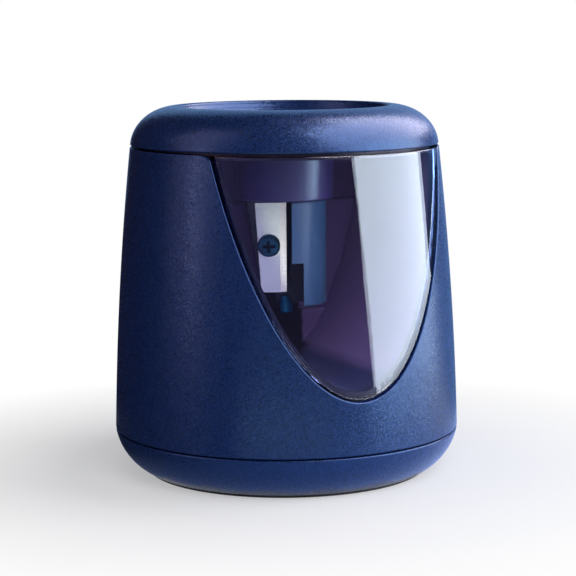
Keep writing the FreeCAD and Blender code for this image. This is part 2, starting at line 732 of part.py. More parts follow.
def hinge_rod(radius, half):
    """Cylinder on the battery door's hinge line."""
    return rod(radius, (-half, DOOR_HINGE_Y, DOOR_HINGE_Z), (half, DOOR_HINGE_Y, DOOR_HINGE_Z))


def foot_ring():
    ring = tube(FOOT_OUTER, FOOT_INNER, 0, BASE_BOTTOM + FOOT_DEPTH)
    return ring_rounded(ring, FOOT_ROUND, (FOOT_OUTER, 0), (FOOT_INNER, 0))


def base_screws():
    low = BASE_BOTTOM + COUNTERBORE_DEPTH - SCREW_HEAD_HEIGHT
    high = SHELL_BOTTOM + BASE_SCREW_BITE - SEAT_SLACK
    sizes = (SCREW_HEAD, SCREW_HEAD_HEIGHT, SCREW_RADIUS, low, high)
    return Part.makeCompound([pan_screw(*sizes, spot) for spot in BASE_SCREW_SPOTS])


def head_screws():
    low = HEAD_BOSS_LOW - SCREW_HEAD_HEIGHT
    high = DECK_TOP + HEAD_SCREW_BITE - SEAT_SLACK
    sizes = (SCREW_HEAD, SCREW_HEAD_HEIGHT, SCREW_RADIUS, low, high)
    return Part.makeCompound([pan_screw(*sizes, spot) for spot in HEAD_SCREW_SPOTS])


# Deck and bearing


def mechanism_deck():
    deck = cylinder(DECK_RADIUS, DECK_BOTTOM, DECK_TOP)
    deck = deck.cut(cylinder(COLLAR_OUTER, DECK_BOTTOM, DECK_TOP))
    deck = deck.cut(cylinder(COLLAR_FLANGE, DECK_TOP - COLLAR_FLANGE_THICK, DECK_TOP))
    deck = deck.cut(cylinder(MOTOR_BOSS + SEAT_SLACK, DECK_BOTTOM, DECK_TOP, MOTOR))
    deck = deck.cut(cylinder(AXLE_RADIUS, DECK_BOTTOM, DECK_TOP, IDLER))
    deck = deck.cut(cylinder(AXLE_RADIUS, DECK_BOTTOM, DECK_TOP, (LEVER_X, LEVER_Y)))
    for spot in HEAD_SCREW_SPOTS:
        deck = deck.cut(screw_hole(DECK_BOTTOM, DECK_TOP, spot))
    for spot in motor_screw_places():
        deck = deck.cut(cylinder(MOTOR_SCREW_SHANK + SCREW_SLACK, DECK_BOTTOM, DECK_TOP, spot))
    for spot in ((-CONTACT_LEAD[0], CONTACT_LEAD[1]), LINK_DROP):
        deck = deck.cut(cylinder(LEAD_HOLE, DECK_BOTTOM, DECK_TOP, spot))
    return deck


def bearing_collar():
    collar = tube(COLLAR_OUTER, COLLAR_INNER, COLLAR_BOTTOM, DECK_TOP)
    collar = ring_rounded(collar, COLLAR_ROUND, (COLLAR_OUTER, COLLAR_BOTTOM))
    flange = tube(COLLAR_FLANGE, COLLAR_INNER, DECK_TOP - COLLAR_FLANGE_THICK, DECK_TOP)
    return joined([collar, flange])


def bearing_bush():
    inner = SHANK_RADIUS + RUN_GAP
    sleeve = tube(COLLAR_INNER, inner, COLLAR_BOTTOM, DECK_TOP)
    flange = tube(BUSH_FLANGE, inner, DECK_TOP, DECK_TOP + BUSH_FLANGE_THICK)
    return joined([sleeve, flange])


# Cutter, modelled with the blade towards -Y and then turned


def faced(shape):
    return shape.rotated(Vector(), Z, BLADE_TURN)


CONE_ANGLE = math.degrees(math.atan2(PENCIL_BORE - TIP_RADIUS, CONE_LENGTH))


def on_seat(shape):
    """Moves a shape from the blade's own frame, with its edge along -Z, on to the cone."""
    placed = shape.rotated(Vector(), Vector(1, 0, 0), CONE_ANGLE)
    return placed.translated(Vector(0, -PENCIL_BORE, CONE_TOP))


def blade_top():
    """Distance down the cutting edge from the cone's mouth to the blade's upper end."""
    return (CONE_TOP - HOLDER_TOP + BLADE_TOP_GAP) / math.cos(math.radians(CONE_ANGLE))


def pencil_hole():
    return turned_points(
        (0, CONE_TIP),
        (TIP_RADIUS, CONE_TIP),
        (PENCIL_BORE, CONE_TOP),
        (PENCIL_BORE, LAYER_HIGH + OVER),
        (0, LAYER_HIGH + OVER),
    )


def cutter_holder():
    far = HOLDER_RADIUS + OVER
    left_bottom = HOLDER_TOP - HOLDER_LEFT_HEIGHT
    right = ring_rounded(
        cylinder(HOLDER_RADIUS, HOLDER_BOTTOM, HOLDER_TOP), HOLDER_ROUND, (HOLDER_RADIUS, HOLDER_BOTTOM)
    )
    right = right.common(block(MOUTH_END, far, -far, far, 0, HOLDER_TOP))
    left = turned_points(
        (0, left_bottom),
        (HOLDER_TAPER_RADIUS, left_bottom),
        (HOLDER_RADIUS, HOLDER_TOP),
        (0, HOLDER_TOP),
    )
    left = left.common(block(-far, MOUTH_END, -far, far, 0, HOLDER_TOP))
    seat = block(-far, MOUTH_START, -far, 0, -2 * CONE_LENGTH, CONE_LENGTH)
    foot = cylinder(STOP_BOSS, HOLDER_BOTTOM, left_bottom + STOP_BOSS)
    shank = cylinder(SHANK_RADIUS, HOLDER_TOP, LAYER_HIGH)
    holder = joined([right, joined([left, foot]).cut(on_seat(seat)), shank])
    mouth = block(MOUTH_START, MOUTH_END, -far, 0, 0, HOLDER_TOP)
    notch = block(MOUTH_START, NOTCH_END, -far, 0, 0, HOLDER_BOTTOM + NOTCH_HEIGHT)
    holder = holder.cut(joined([mouth, notch])).cut(pencil_hole())
    screw_hole = rod(
        BLADE_SCREW_SHANK + SCREW_SLACK,
        (-BLADE_SCREW_SIDE, 0, -BLADE_SCREW_DROP - blade_top()),
        (-BLADE_SCREW_SIDE, BLADE_SCREW_LENGTH, -BLADE_SCREW_DROP - blade_top()),
    )
    stop_hole = cylinder(STOP_SHANK + SCREW_SLACK, HOLDER_BOTTOM, HOLDER_BOTTOM + STOP_LENGTH)
    return faced(holder.cut(on_seat(screw_hole)).cut(stop_hole))


def blade():
    """Blade with a ground edge; its lower end is narrower and has a rounded corner."""
    section = [
        (MOUTH_START, 0),
        (MOUTH_START, -BLADE_EDGE),
        (MOUTH_START - BLADE_BEVEL, -BLADE_THICK),
        (-BLADE_WIDTH, -BLADE_THICK),
        (-BLADE_WIDTH, 0),
    ]
    points = [Vector(x, y, -blade_top()) for x, y in section]
    strip = Part.Face(Part.makePolygon(points + points[:1])).extrude(Vector(0, 0, -BLADE_LENGTH))
    low = -blade_top() - BLADE_LENGTH
    corners = [
        Vector(-BLADE_WIDTH - OVER, -OVER, low - OVER),
        Vector(-BLADE_WIDTH - OVER, -OVER, -blade_top()),
        Vector(-BLADE_WIDTH, -OVER, -blade_top()),
        Vector(-BLADE_FOOT_WIDTH, -OVER, low),
        Vector(-BLADE_FOOT_WIDTH, -OVER, low - OVER),
    ]
    trim = Part.Face(Part.makePolygon(corners + corners[:1])).extrude(Vector(0, 2 * OVER, 0))
    strip = strip.cut(trim)
    corner = [
        e
        for e in strip.Edges
        if e.BoundBox.XLength + e.BoundBox.ZLength < 1e-3
        and abs(e.BoundBox.ZMin - low) < 1e-3
        and e.BoundBox.XMax < -BLADE_BEVEL
    ]
    strip = strip.makeFillet(BLADE_CORNER, corner)
    height = -BLADE_SCREW_DROP - blade_top()
    hole = rod(
        BLADE_SCREW_SHANK + SCREW_SLACK,
        (-BLADE_SCREW_SIDE, -OVER, height),
        (-BLADE_SCREW_SIDE, OVER, height),
    )
    return faced(on_seat(strip.cut(hole)))


def blade_screw():
    head = cylinder(BLADE_SCREW_HEAD, 0, BLADE_SCREW_HEAD_HEIGHT)
    head = ring_rounded(head, BLADE_SCREW_ROUND, (BLADE_SCREW_HEAD, BLADE_SCREW_HEAD_HEIGHT))
    low = BLADE_SCREW_HEAD_HEIGHT - CROSS_DEPTH
    head = head.cut(cross_recess(CROSS_SPAN, CROSS_WIDTH, low, BLADE_SCREW_HEAD_HEIGHT + OVER))
    shank = cylinder(BLADE_SCREW_SHANK, SEAT_SLACK - BLADE_THICK - BLADE_SCREW_LENGTH, 0)
    screw = head.fuse(shank).rotated(Vector(), Vector(1, 0, 0), 90)
    drop = Vector(-BLADE_SCREW_SIDE, -BLADE_THICK, -BLADE_SCREW_DROP - blade_top())
    return faced(on_seat(screw.translated(drop)))


def point_stop_screw():
    low = HOLDER_BOTTOM - STOP_HEAD_HEIGHT
    head = ring_rounded(cylinder(STOP_HEAD, low, HOLDER_BOTTOM), STOP_ROUND, (STOP_HEAD, low))
    slot = block(-STOP_HEAD, STOP_HEAD, -DRIVE_WIDTH / 2, DRIVE_WIDTH / 2, 0, low + DRIVE_DEPTH)
    shank = cylinder(STOP_SHANK, HOLDER_BOTTOM, HOLDER_BOTTOM + STOP_LENGTH - SEAT_SLACK)
    return faced(head.cut(slot).fuse(shank))


# Gears


def involute(angle):
    return math.tan(angle) - angle


def gear(teeth, low, high, spot, tooth_angle):
    """Spur gear with one tooth centred on tooth_angle, in radians from +X."""
    pitch = MODULE * teeth / 2
    base = pitch * math.cos(math.radians(PRESSURE_ANGLE))
    tip = pitch + ADDENDUM * MODULE
    root = pitch - DEDENDUM * MODULE
    thick = (math.pi * MODULE / 2 - BACKLASH) / (2 * pitch)
    start = max(base, root)
    radii = [start + (tip - start) * i / FLANK_STEPS for i in range(FLANK_STEPS + 1)]
    flank = [
        (r, thick + involute(math.radians(PRESSURE_ANGLE)) - involute(math.acos(min(1, base / r))))
        for r in radii
    ]
    flank = ([(root, flank[0][1])] if root < start else []) + flank
    tooth = [(r, -a) for r, a in flank] + [(r, a) for r, a in reversed(flank)]
    centre = Vector(spot[0], spot[1], low)
    points = []
    for i in range(teeth):
        turn = tooth_angle + 2 * math.pi * i / teeth
        points += [centre + r * Vector(math.cos(turn + a), math.sin(turn + a), 0) for r, a in tooth]
    return Part.Face(Part.makePolygon(points + points[:1])).extrude(Vector(0, 0, high - low))


def heading(start, end):
    return math.atan2(end[1] - start[1], end[0] - start[0])


def half_tooth(teeth):
    return math.pi / teeth


def cutter_gear():
    wheel = gear(CUTTER_TEETH, LAYER_LOW, LAYER_HIGH, (0, 0), heading((0, 0), IDLER))
    return wheel.cut(cylinder(SHANK_RADIUS, LAYER_LOW, LAYER_HIGH))


def idler_gear():
    small = gear(
        IDLER_SMALL_TEETH,
        LAYER_LOW,
        TOP_LAYER_LOW,
        IDLER,
        heading(IDLER, (0, 0)) + half_tooth(IDLER_SMALL_TEETH),
    )
    large = gear(IDLER_LARGE_TEETH, TOP_LAYER_LOW, TOP_LAYER_HIGH, IDLER, heading(IDLER, MOTOR))
    return small.fuse(large).cut(cylinder(AXLE_RADIUS + AXLE_SLACK, LAYER_LOW, TOP_LAYER_HIGH, IDLER))


def motor_pinion():
    turn = heading(MOTOR, IDLER) + half_tooth(PINION_TEETH)
    pinion = gear(PINION_TEETH, TOP_LAYER_LOW, TOP_LAYER_HIGH, MOTOR, turn)
    return pinion.cut(cylinder(AXLE_RADIUS, TOP_LAYER_LOW, TOP_LAYER_HIGH, MOTOR))


def idler_axle():
    return cylinder(AXLE_RADIUS, DECK_BOTTOM, AXLE_TOP, IDLER)


# Motor


def motor_screw_places():
    return [(MOTOR[0] + x, MOTOR[1] + y) for x, y in MOTOR_SCREW_SPOTS]


def motor_body(low, high):
    """Round body with two flats."""
    body = cylinder(MOTOR_ROUND, low, high, MOTOR)
    return body.common(block(-MOTOR_FLAT, MOTOR_FLAT, 0, 2 * MOTOR_Y, low, high))


def shaft_hole():
    return cylinder(AXLE_RADIUS + SHAFT_SLACK, MOTOR_BOTTOM - OVER, DECK_TOP + OVER, MOTOR)


def motor_can():
    can = motor_body(MOTOR_BOTTOM + MOTOR_CAP, DECK_BOTTOM)
    boss = cylinder(MOTOR_BOSS, DECK_BOTTOM, DECK_BOTTOM + MOTOR_BOSS_HEIGHT, MOTOR)
    can = can.fuse(boss).cut(shaft_hole())
    for spot in motor_screw_places():
        hole = cylinder(MOTOR_SCREW_SHANK + SCREW_SLACK, DECK_BOTTOM - MOTOR_SCREW_DEPTH, DECK_BOTTOM, spot)
        can = can.cut(hole)
    return can


def motor_end_cap():
    return motor_body(MOTOR_BOTTOM, MOTOR_BOTTOM + MOTOR_CAP).cut(shaft_hole())


def motor_terminals():
    tabs = []
    for side in (-1, 1):
        x = side * TERMINAL_SPREAD
        tab = block(
            x - TERMINAL_WIDTH / 2,
            x + TERMINAL_WIDTH / 2,
            MOTOR_Y,
            MOTOR_Y + TERMINAL_THICK,
            MOTOR_BOTTOM - TERMINAL_LENGTH,
            MOTOR_BOTTOM,
        )
        tabs.append(tab)
    return Part.makeCompound(tabs)


def motor_screws():
    screws = []
    for spot in motor_screw_places():
        head = cylinder(MOTOR_SCREW_HEAD, DECK_TOP, DECK_TOP + MOTOR_SCREW_HEAD_HEIGHT, spot)
        shank = cylinder(MOTOR_SCREW_SHANK, DECK_BOTTOM - MOTOR_SCREW_DEPTH + SEAT_SLACK, DECK_TOP, spot)
        screws.append(head.fuse(shank))
    return Part.makeCompound(screws)


def motor_shaft():
    return cylinder(AXLE_RADIUS, MOTOR_BOTTOM - SHAFT_TAIL, TOP_LAYER_HIGH, MOTOR)


# Chassis, tray and window


def chassis_band(y_low, y_high, low, high, hollow):
    """Length of the tray's runner: its wall alone, or filled in as a plate."""
    band = arch(LINER_OUTER, y_low, y_high)
    if hollow:
        band = band.cut(arch(LINER_INNER, y_low, y_high))
    return band.common(block(-RADIUS_LOW, RADIUS_LOW, y_low, y_high, low, high))


def inner_chassis():
    front = -RADIUS_LOW
    runner = chassis_band(front, PARTITION_BACK, 0, DECK_BOTTOM, True)
    runner = runner.common(body_solid(WALL + CHASSIS_GAP, SHELL_BOTTOM, DECK_BOTTOM))
    partition = chassis_band(PARTITION_FRONT, PARTITION_BACK, 0, SHELF_TOP, False)
    shelf = chassis_band(PARTITION_FRONT, UPPER_WALL_BACK, SHELF_TOP - SHELF_THICK, SHELF_TOP, False)
    upper_sides = chassis_band(PARTITION_BACK, UPPER_WALL_BACK, SHELF_TOP, DECK_BOTTOM, True)
    upper_wall = chassis_band(UPPER_WALL_FRONT, UPPER_WALL_BACK, SHELF_TOP, DECK_BOTTOM, False)
    in_front = block(-RADIUS_LOW, RADIUS_LOW, 0, PARTITION_FRONT + SEAT_SLACK, 0, SEAM_HIGH)
    sleeves = []
    for x in (-CELL_X, CELL_X):
        spot = (x, CELL_Y)
        sleeve = cylinder(SLEEVE_OUTER, CELL_BOTTOM + SLEEVE_LOW_GAP, SLEEVE_TOP + SLEEVE_LID, spot)
        sleeve = sleeve.cut(cylinder(SLEEVE_INNER, 0, SLEEVE_TOP, spot))
        lead_hole = cylinder(LEAD_RADIUS + LEAD_SLACK, 0, SEAM_HIGH, (x, CONTACT_LEAD[1]))
        sleeves.append(sleeve.cut(lead_hole).cut(in_front))
    chassis = joined([runner, partition, shelf, upper_sides, upper_wall] + sleeves)
    hole = rod(
        PLUNGER_RADIUS + PARTITION_HOLE_SLACK,
        (0, PARTITION_FRONT - SEAT_SLACK, SAFETY_HEIGHT),
        (0, PARTITION_BACK + SEAT_SLACK, SAFETY_HEIGHT),
    )
    cells = [cylinder(SLEEVE_INNER, 0, SLEEVE_TOP, (x, CELL_Y)) for x in (-CELL_X, CELL_X)]
    return chassis.cut(hole).cut(Part.makeCompound(cells))


def window_back():
    return WINDOW_RECESS + WINDOW_WALL


def bin_window():
    top = SEAM_HIGH - WINDOW_TOP_GAP
    panel = body_solid(WINDOW_RECESS, SHELL_BOTTOM, top)
    panel = panel.cut(body_solid(window_back(), SHELL_BOTTOM - OVER, top + OVER))
    panel = panel.common(arch(WINDOW_GAP, -RADIUS_LOW - OVER, 0))
    return outer_rounded(panel, WINDOW_RECESS)


def shavings_tray():
    top = DECK_BOTTOM - TRAY_TOP_GAP
    front = -RADIUS_LOW
    inside = body_solid(window_back(), SHELL_BOTTOM, top)
    trough = arch(TRAY_OUTER, front, TRAY_BACK).cut(arch(TRAY_INNER, front, TRAY_BACK))
    back = arch(TRAY_OUTER, TRAY_BACK - TRAY_WALL, TRAY_BACK)
    back = back.common(block(-RADIUS_LOW, RADIUS_LOW, 0, TRAY_BACK, 0, TRAY_BACK_HEIGHT))
    return joined([trough.common(inside), back])


# Battery parts


def cell(x, nub_up):
    """One cell with its nub at the upper or the lower end."""
    body_low = CELL_BOTTOM if nub_up else CELL_BOTTOM + CELL_NUB_HEIGHT
    body_high = body_low + CELL_LENGTH - CELL_NUB_HEIGHT
    nub_low = body_high if nub_up else CELL_BOTTOM
    body = cylinder(CELL_RADIUS, body_low, body_high)
    body = ring_rounded(body, CELL_ROUND, (CELL_RADIUS, body_low), (CELL_RADIUS, body_high))
    nub = cylinder(CELL_NUB, nub_low, nub_low + CELL_NUB_HEIGHT)
    return body.fuse(nub).translated(Vector(x, CELL_Y, 0))


def battery_cells():
    return Part.makeCompound([cell(-CELL_X, True), cell(CELL_X, False)])


def battery_contacts():
    plates = []
    for x in (-CELL_X, CELL_X):
        plate = cylinder(CONTACT_RADIUS, SLEEVE_TOP - CONTACT_THICK, SLEEVE_TOP, (x, CELL_Y))
        dimple = cylinder(CONTACT_DIMPLE, CELL_TOP, SLEEVE_TOP - CONTACT_THICK, (x, CELL_Y))
        plates.append(plate.fuse(dimple))
    return Part.makeCompound(plates)


def bridge_contact():
    low = DOOR_PAD_TOP
    high = low + CONTACT_THICK
    half = DOOR_BRIDGE / 2
    pieces = [block(-CELL_X, CELL_X, CELL_Y - half, CELL_Y + half, low, high)]
    for x in (-CELL_X, CELL_X):
        pieces.append(cylinder(CONTACT_RADIUS, low, high, (x, CELL_Y)))
        pieces.append(cylinder(CONTACT_DIMPLE, high, CELL_BOTTOM, (x, CELL_Y)))
    return joined(pieces)


def battery_door():
    half = DOOR_BRIDGE / 2
    pieces = [door_plan(DOOR_HINGE_Y, 0, BASE_BOTTOM, DOOR_TOP)]
    pieces.append(hinge_rod(DOOR_BARREL, DOOR_HALF_WIDTH))
    pieces.append(hinge_rod(DOOR_PIN, DOOR_HALF_WIDTH + DOOR_PIN_REACH))
    pieces.append(block(-CELL_X, CELL_X, CELL_Y - half, CELL_Y + half, DOOR_TOP, DOOR_PAD_TOP))
    for x in (-CELL_X, CELL_X):
        pieces.append(cylinder(DOOR_PAD, DOOR_TOP, DOOR_PAD_TOP, (x, CELL_Y)))
    scoop_spot = (0, DOOR_RADIUS + FINGER_RADIUS - FINGER_REACH)
    scoop = cylinder(FINGER_RADIUS, 0, BASE_BOTTOM + FINGER_DEPTH, scoop_spot)
    return joined(pieces).cut(scoop)


# Start lever and switches


def start_lever():
    half = LEVER_HALF_WIDTH
    bar = block(LEVER_X - half, LEVER_X + half, LEVER_Y - LEVER_TAIL, LEVER_END, LEVER_LOW, LEVER_HIGH)
    nose = block(LEVER_X, -LEVER_NOSE - LEVER_END, -LEVER_END, LEVER_END, LEVER_LOW, LEVER_HIGH)
    tip = cylinder(LEVER_END, LEVER_LOW, LEVER_HIGH, (-LEVER_NOSE - LEVER_END, 0))
    hub = cylinder(LEVER_HUB, LEVER_LOW, LEVER_HIGH, (LEVER_X, LEVER_Y))
    lever = joined([bar, nose, tip, hub])
    return lever.cut(cylinder(AXLE_RADIUS + LEVER_SLACK, LEVER_LOW, LEVER_HIGH, (LEVER_X, LEVER_Y)))


def lever_pin():
    return cylinder(AXLE_RADIUS, DECK_BOTTOM, AXLE_TOP, (LEVER_X, LEVER_Y))


def button_start():
    return LEVER_X + LEVER_HALF_WIDTH + BUTTON_GAP


def button_height():
    return (LEVER_LOW + LEVER_HIGH) / 2


def start_button():
    x = button_start()
    height = button_height()
    return rod(BUTTON_RADIUS, (x, START_BUTTON_Y, height), (x + BUTTON_LENGTH, START_BUTTON_Y, height))


def switch_side():
    return button_start() + BUTTON_STICK_OUT


def start_switch():
    x = switch_side()
    half = START_SWITCH_WIDTH / 2
    height = button_height()
    body = block(
        x,
        x + START_SWITCH_LENGTH,
        START_BUTTON_Y - half,
        START_BUTTON_Y + half,
        DECK_TOP,
        DISH_UNDER - START_SWITCH_TOP_GAP,
    )
    mouth = (x, START_BUTTON_Y, height)
    end = (button_start() + BUTTON_LENGTH + BUTTON_ROOM, START_BUTTON_Y, height)
    return body.cut(rod(BUTTON_RADIUS + BUTTON_SLACK, mouth, end))


def safety_plunger():
    tip = TRAY_BACK + PLUNGER_GAP
    return rod(PLUNGER_RADIUS, (0, tip, SAFETY_HEIGHT), (0, tip + PLUNGER_LENGTH, SAFETY_HEIGHT))


def safety_switch():
    body = block(
        -SAFETY_HALF_WIDTH,
        SAFETY_HALF_WIDTH,
        PARTITION_BACK,
        PARTITION_BACK + SAFETY_DEPTH,
        SAFETY_HEIGHT - SAFETY_HALF_HEIGHT,
        SAFETY_HEIGHT + SAFETY_HALF_HEIGHT,
    )
    end = TRAY_BACK + PLUNGER_GAP + PLUNGER_LENGTH + SEAT_SLACK
    bore = rod(PLUNGER_RADIUS + PLUNGER_SLACK, (0, PARTITION_BACK, SAFETY_HEIGHT), (0, end, SAFETY_HEIGHT))
    return body.cut(bore)


# Leads, each a round wire along its route


def lead(points):
    """Wire through the points, with an arc at each bend."""
    spots = [Vector(*point) for point in points]
    edges = []
    here = spots[0]
    for a, b, c in zip(spots, spots[1:], spots[2:]):
        into = (b - a).normalize()
        out = (c - b).normalize()
        half = into.getAngle(out) / 2
        start = b - into * LEAD_BEND * math.tan(half)
        end = b + out * LEAD_BEND * math.tan(half)
        middle = b + (out - into).normalize() * LEAD_BEND * (1 / math.cos(half) - 1)
        edges += [Part.makeLine(here, start), Part.Arc(start, middle, end).toShape()]
        here = end
    edges.append(Part.makeLine(here, spots[-1]))
    section = Part.Wire(Part.makeCircle(LEAD_RADIUS, spots[0], spots[1] - spots[0]))
    return Part.Wire(edges).makePipeShell([section], True, False)


def terminal_lane():
    """Y of a lead that lies on the back of a motor terminal."""
    return MOTOR_Y + TERMINAL_THICK + LEAD_RADIUS


def under_screw_heads():
    return HEAD_BOSS_LOW - SCREW_HEAD_HEIGHT - LEAD_RADIUS


def supply_lead():
    """Left contact to the start switch."""
    x, y = CONTACT_LEAD
    switch_y = START_BUTTON_Y - SWITCH_LEAD_SPREAD
    return lead(
        [
            (-x, y, SLEEVE_TOP),
            (-x, y, DECK_LANE),
            (*DECK_LANE_SUPPLY, DECK_LANE),
            (switch_side() - SUPPLY_TURN, switch_y, DECK_LANE),
            (switch_side(), switch_y, DECK_LANE),
        ]
    )


def link_lead():
    """Start switch to the safety switch."""
    lane_x, lane_y = REAR_LANE
    switch_y = START_BUTTON_Y + SWITCH_LEAD_SPREAD
    return lead(
        [
            (switch_side(), switch_y, DECK_LANE),
            (switch_side() - LINK_TURN, switch_y, DECK_LANE),
            (*DECK_LANE_LINK, DECK_LANE),
            (*LINK_DROP, DECK_LANE),
            (*LINK_DROP, HEAD_BOSS_LOW),
            (-lane_x, lane_y, under_screw_heads()),
            (-lane_x, lane_y, SAFETY_HEIGHT),
            (SWITCH_LEAD_SPREAD, lane_y, SAFETY_HEIGHT),
            (SWITCH_LEAD_SPREAD, PARTITION_BACK + SAFETY_DEPTH, SAFETY_HEIGHT),
        ]
    )


def motor_lead():
    """Safety switch to the motor's left terminal."""
    switch_back = PARTITION_BACK + SAFETY_DEPTH
    rise = MOTOR_BOTTOM - TERMINAL_LENGTH - 2 * OVER
    return lead(
        [
            (-SWITCH_LEAD_SPREAD, switch_back, SAFETY_HEIGHT),
            (-SWITCH_LEAD_SPREAD, switch_back + OVER, SAFETY_HEIGHT),
            (-TERMINAL_SPREAD, terminal_lane(), rise),
            (-TERMINAL_SPREAD, terminal_lane(), MOTOR_BOTTOM - SEAT_SLACK),
        ]
    )


def red_leads():
    return Part.makeCompound([supply_lead(), link_lead(), motor_lead()])


def black_lead():
    """Right contact to the motor's right terminal."""
    x, y = CONTACT_LEAD
    lane_x, lane_y = REAR_LANE
    lane_low = MOTOR_BOTTOM - TERMINAL_LENGTH - OVER
    return lead(
        [
            (x, y, SLEEVE_TOP),
            (x, y, HEAD_BOSS_LOW - LEAD_RADIUS),
            (lane_x, lane_y, under_screw_heads()),
            (lane_x, lane_y, lane_low),
            (TERMINAL_SPREAD, lane_y, lane_low),
            (TERMINAL_SPREAD, terminal_lane(), lane_low + OVER / 2),
            (TERMINAL_SPREAD, terminal_lane(), MOTOR_BOTTOM - SEAT_SLACK),
        ]
    )


PIECES = (
    base_cover,
    foot_ring,
    base_screws,
    body_shell,
    head_screws,
    top_cap,
    entry_ring,
    mechanism_deck,
    bearing_collar,
    bearing_bush,
    cutter_holder,
    blade,
    blade_screw,
    point_stop_screw,
    cutter_gear,
    idler_gear,
    idler_axle,
    motor_pinion,
    motor_shaft,
    motor_can,
    motor_end_cap,
    motor_terminals,
    motor_screws,
    inner_chassis,
    bin_window,
    shavings_tray,
    battery_cells,
    battery_contacts,
    bridge_contact,
    battery_door,
    start_lever,
    lever_pin,
    start_button,
    start_switch,
    safety_plunger,
    safety_switch,
    red_leads,
    black_lead,
)

for piece in PIECES:
    piece().exportStep("parts/" + piece.__name__ + ".step")
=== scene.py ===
import json
import math

import bmesh
import bpy
from mathutils import Matrix, Vector

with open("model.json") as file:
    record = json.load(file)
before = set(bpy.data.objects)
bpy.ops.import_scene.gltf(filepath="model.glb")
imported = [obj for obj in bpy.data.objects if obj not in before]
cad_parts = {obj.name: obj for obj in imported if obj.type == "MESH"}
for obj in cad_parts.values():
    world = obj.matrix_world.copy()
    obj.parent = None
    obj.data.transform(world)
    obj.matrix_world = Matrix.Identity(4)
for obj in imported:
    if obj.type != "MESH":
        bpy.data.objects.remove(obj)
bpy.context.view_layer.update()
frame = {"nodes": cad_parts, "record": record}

NODES = frame["nodes"]

# Camera of the photograph, in metres, degrees and pixels of its square frame
FRAME_PIXELS = 576
FOCAL_PIXELS = 1956.2
AXIS_PIXEL = 285.4
CAMERA_AZIMUTH = -25.0
CAMERA_REACH = 0.46373
CAMERA_HEIGHT = 0.10867
CAMERA_PITCH = 8.04
CAMERA_ROLL = -0.457
CAMERA_NEAR = 0.01
SENSOR_MM = 36.0

WHITE = (1.0, 1.0, 1.0, 1.0)
BLACK = (0.0, 0.0, 0.0, 1.0)

# Floor: its radius, the distances from its middle between which its share of plain white
# grows, in metres, and that share at both ends
FLOOR_RADIUS = 0.2
FLOOR_FADE = (0.052, 0.12)
FLOOR_WHITE = (0.4, 1.0)
FLOOR_ROUGHNESS = 0.9

# Strength of the world's even light; then the lamps: name, place, width, power
ROOM_LIGHT = 0.22
LAMP_AIM = (0.0, 0.0, 0.04)
LAMPS = (
    ("right_softbox_light", (0.50, -0.30, 0.22), 0.5, 3.2),
    ("front_fill", (-0.07, -0.57, 0.45), 0.5, 2.2),
    ("low_fill", (-0.36, -0.56, 0.12), 0.3, 0.45),
)

# Fades of the panels: a direction, the two places along it between which the light
# changes, in metres, and the strength that it ends with
SIDEWAYS = (0.906, -0.423, 0.0)
BACKWARDS = (0.0, 1.0, 0.0)
UPWARDS = (0.0, 0.0, 1.0)
SOFTBOX_FADE = (BACKWARDS, -0.3, 0.02, 6.4)
UPPER_FADE = (UPWARDS, 0.35, 0.7, 9.5)
FRONT_FADE = (SIDEWAYS, -0.6, -0.05, 0.13)
TABLE_FADE = (SIDEWAYS, -0.045, 0.035, 1.75)

# Flat panel on the right
SOFTBOX_CORNERS = (
    (0.243, -0.640, 0.26),
    (0.439, -0.527, -0.156),
    (0.618, 0.010, -0.15),
    (0.618, 0.020, 0.4),
)
SOFTBOX_TINT = (0.72, 0.83, 0.97, 1.0)
SOFTBOX_STRENGTH = 8.5

# Tints of the bent panels
PALE_LILAC = (0.94, 0.86, 1.0, 1.0)
ROSE = (1.0, 0.66, 0.76, 1.0)
ROSE_LILAC = (1.0, 0.7, 0.85, 1.0)
ROSE_STRIP = (1.0, 0.7, 0.8, 1.0)
INDIGO = (0.4, 0.4, 1.0, 1.0)
DEEP_BLUE = (0.2, 0.4, 1.0, 1.0)
STEEL_BLUE = (0.3, 0.55, 1.0, 1.0)
TABLE_BLUE = (0.45, 0.58, 1.0, 1.0)
LILAC = (0.7, 0.5, 1.0, 1.0)
WARM_WHITE = (1.0, 1.0, 0.95, 1.0)

# Bent panels: name, start and end azimuth, lower and upper edge as height with reach,
# tint, strength, fade
WALL_LOW = (-0.4, 0.8)
WALL_HIGH = (0.9, 0.8)
TABLE_INNER = (0.0006, 0.036)
TABLE_OUTER = (0.0006, 0.086)
FLOOR_OUTER = (0.0006, 0.8)
PANELS = (
    ("upper_softbox", 4, 122, (0.24, 0.62), (0.78, 0.24), PALE_LILAC, 6.8, UPPER_FADE),
    ("left_card", -108, -74, (0.0, 0.65), (0.5, 0.6), ROSE, 1.0, None),
    ("upper_left_card", -116, -72, (0.3, 0.6), (0.74, 0.4), ROSE_LILAC, 1.6, None),
    ("left_strip", -89, -84, (0.02, 0.63), (0.5, 0.58), ROSE_STRIP, 6.5, None),
    ("front_flag", -76, 60, WALL_LOW, WALL_HIGH, INDIGO, 0.38, FRONT_FADE),
    ("right_flag", 91, 120, WALL_LOW, WALL_HIGH, DEEP_BLUE, 0.2, None),
    ("back_right_card", 120, 175, WALL_LOW, WALL_HIGH, STEEL_BLUE, 1.0, None),
    ("back_left_flag", -185, -76, WALL_LOW, WALL_HIGH, LILAC, 0.04, None),
    ("table_card", -190, 170, TABLE_INNER, TABLE_OUTER, TABLE_BLUE, 0.05, TABLE_FADE),
    ("front_floor_card", -48, -2, (0.0007, 0.1), (0.0007, 0.195), WARM_WHITE, 1.7, None),
    ("left_floor_flag", -190, -50, TABLE_OUTER, FLOOR_OUTER, INDIGO, 0.05, None),
    ("right_floor_card", 93, 170, TABLE_OUTER, FLOOR_OUTER, STEEL_BLUE, 0.6, None),
)
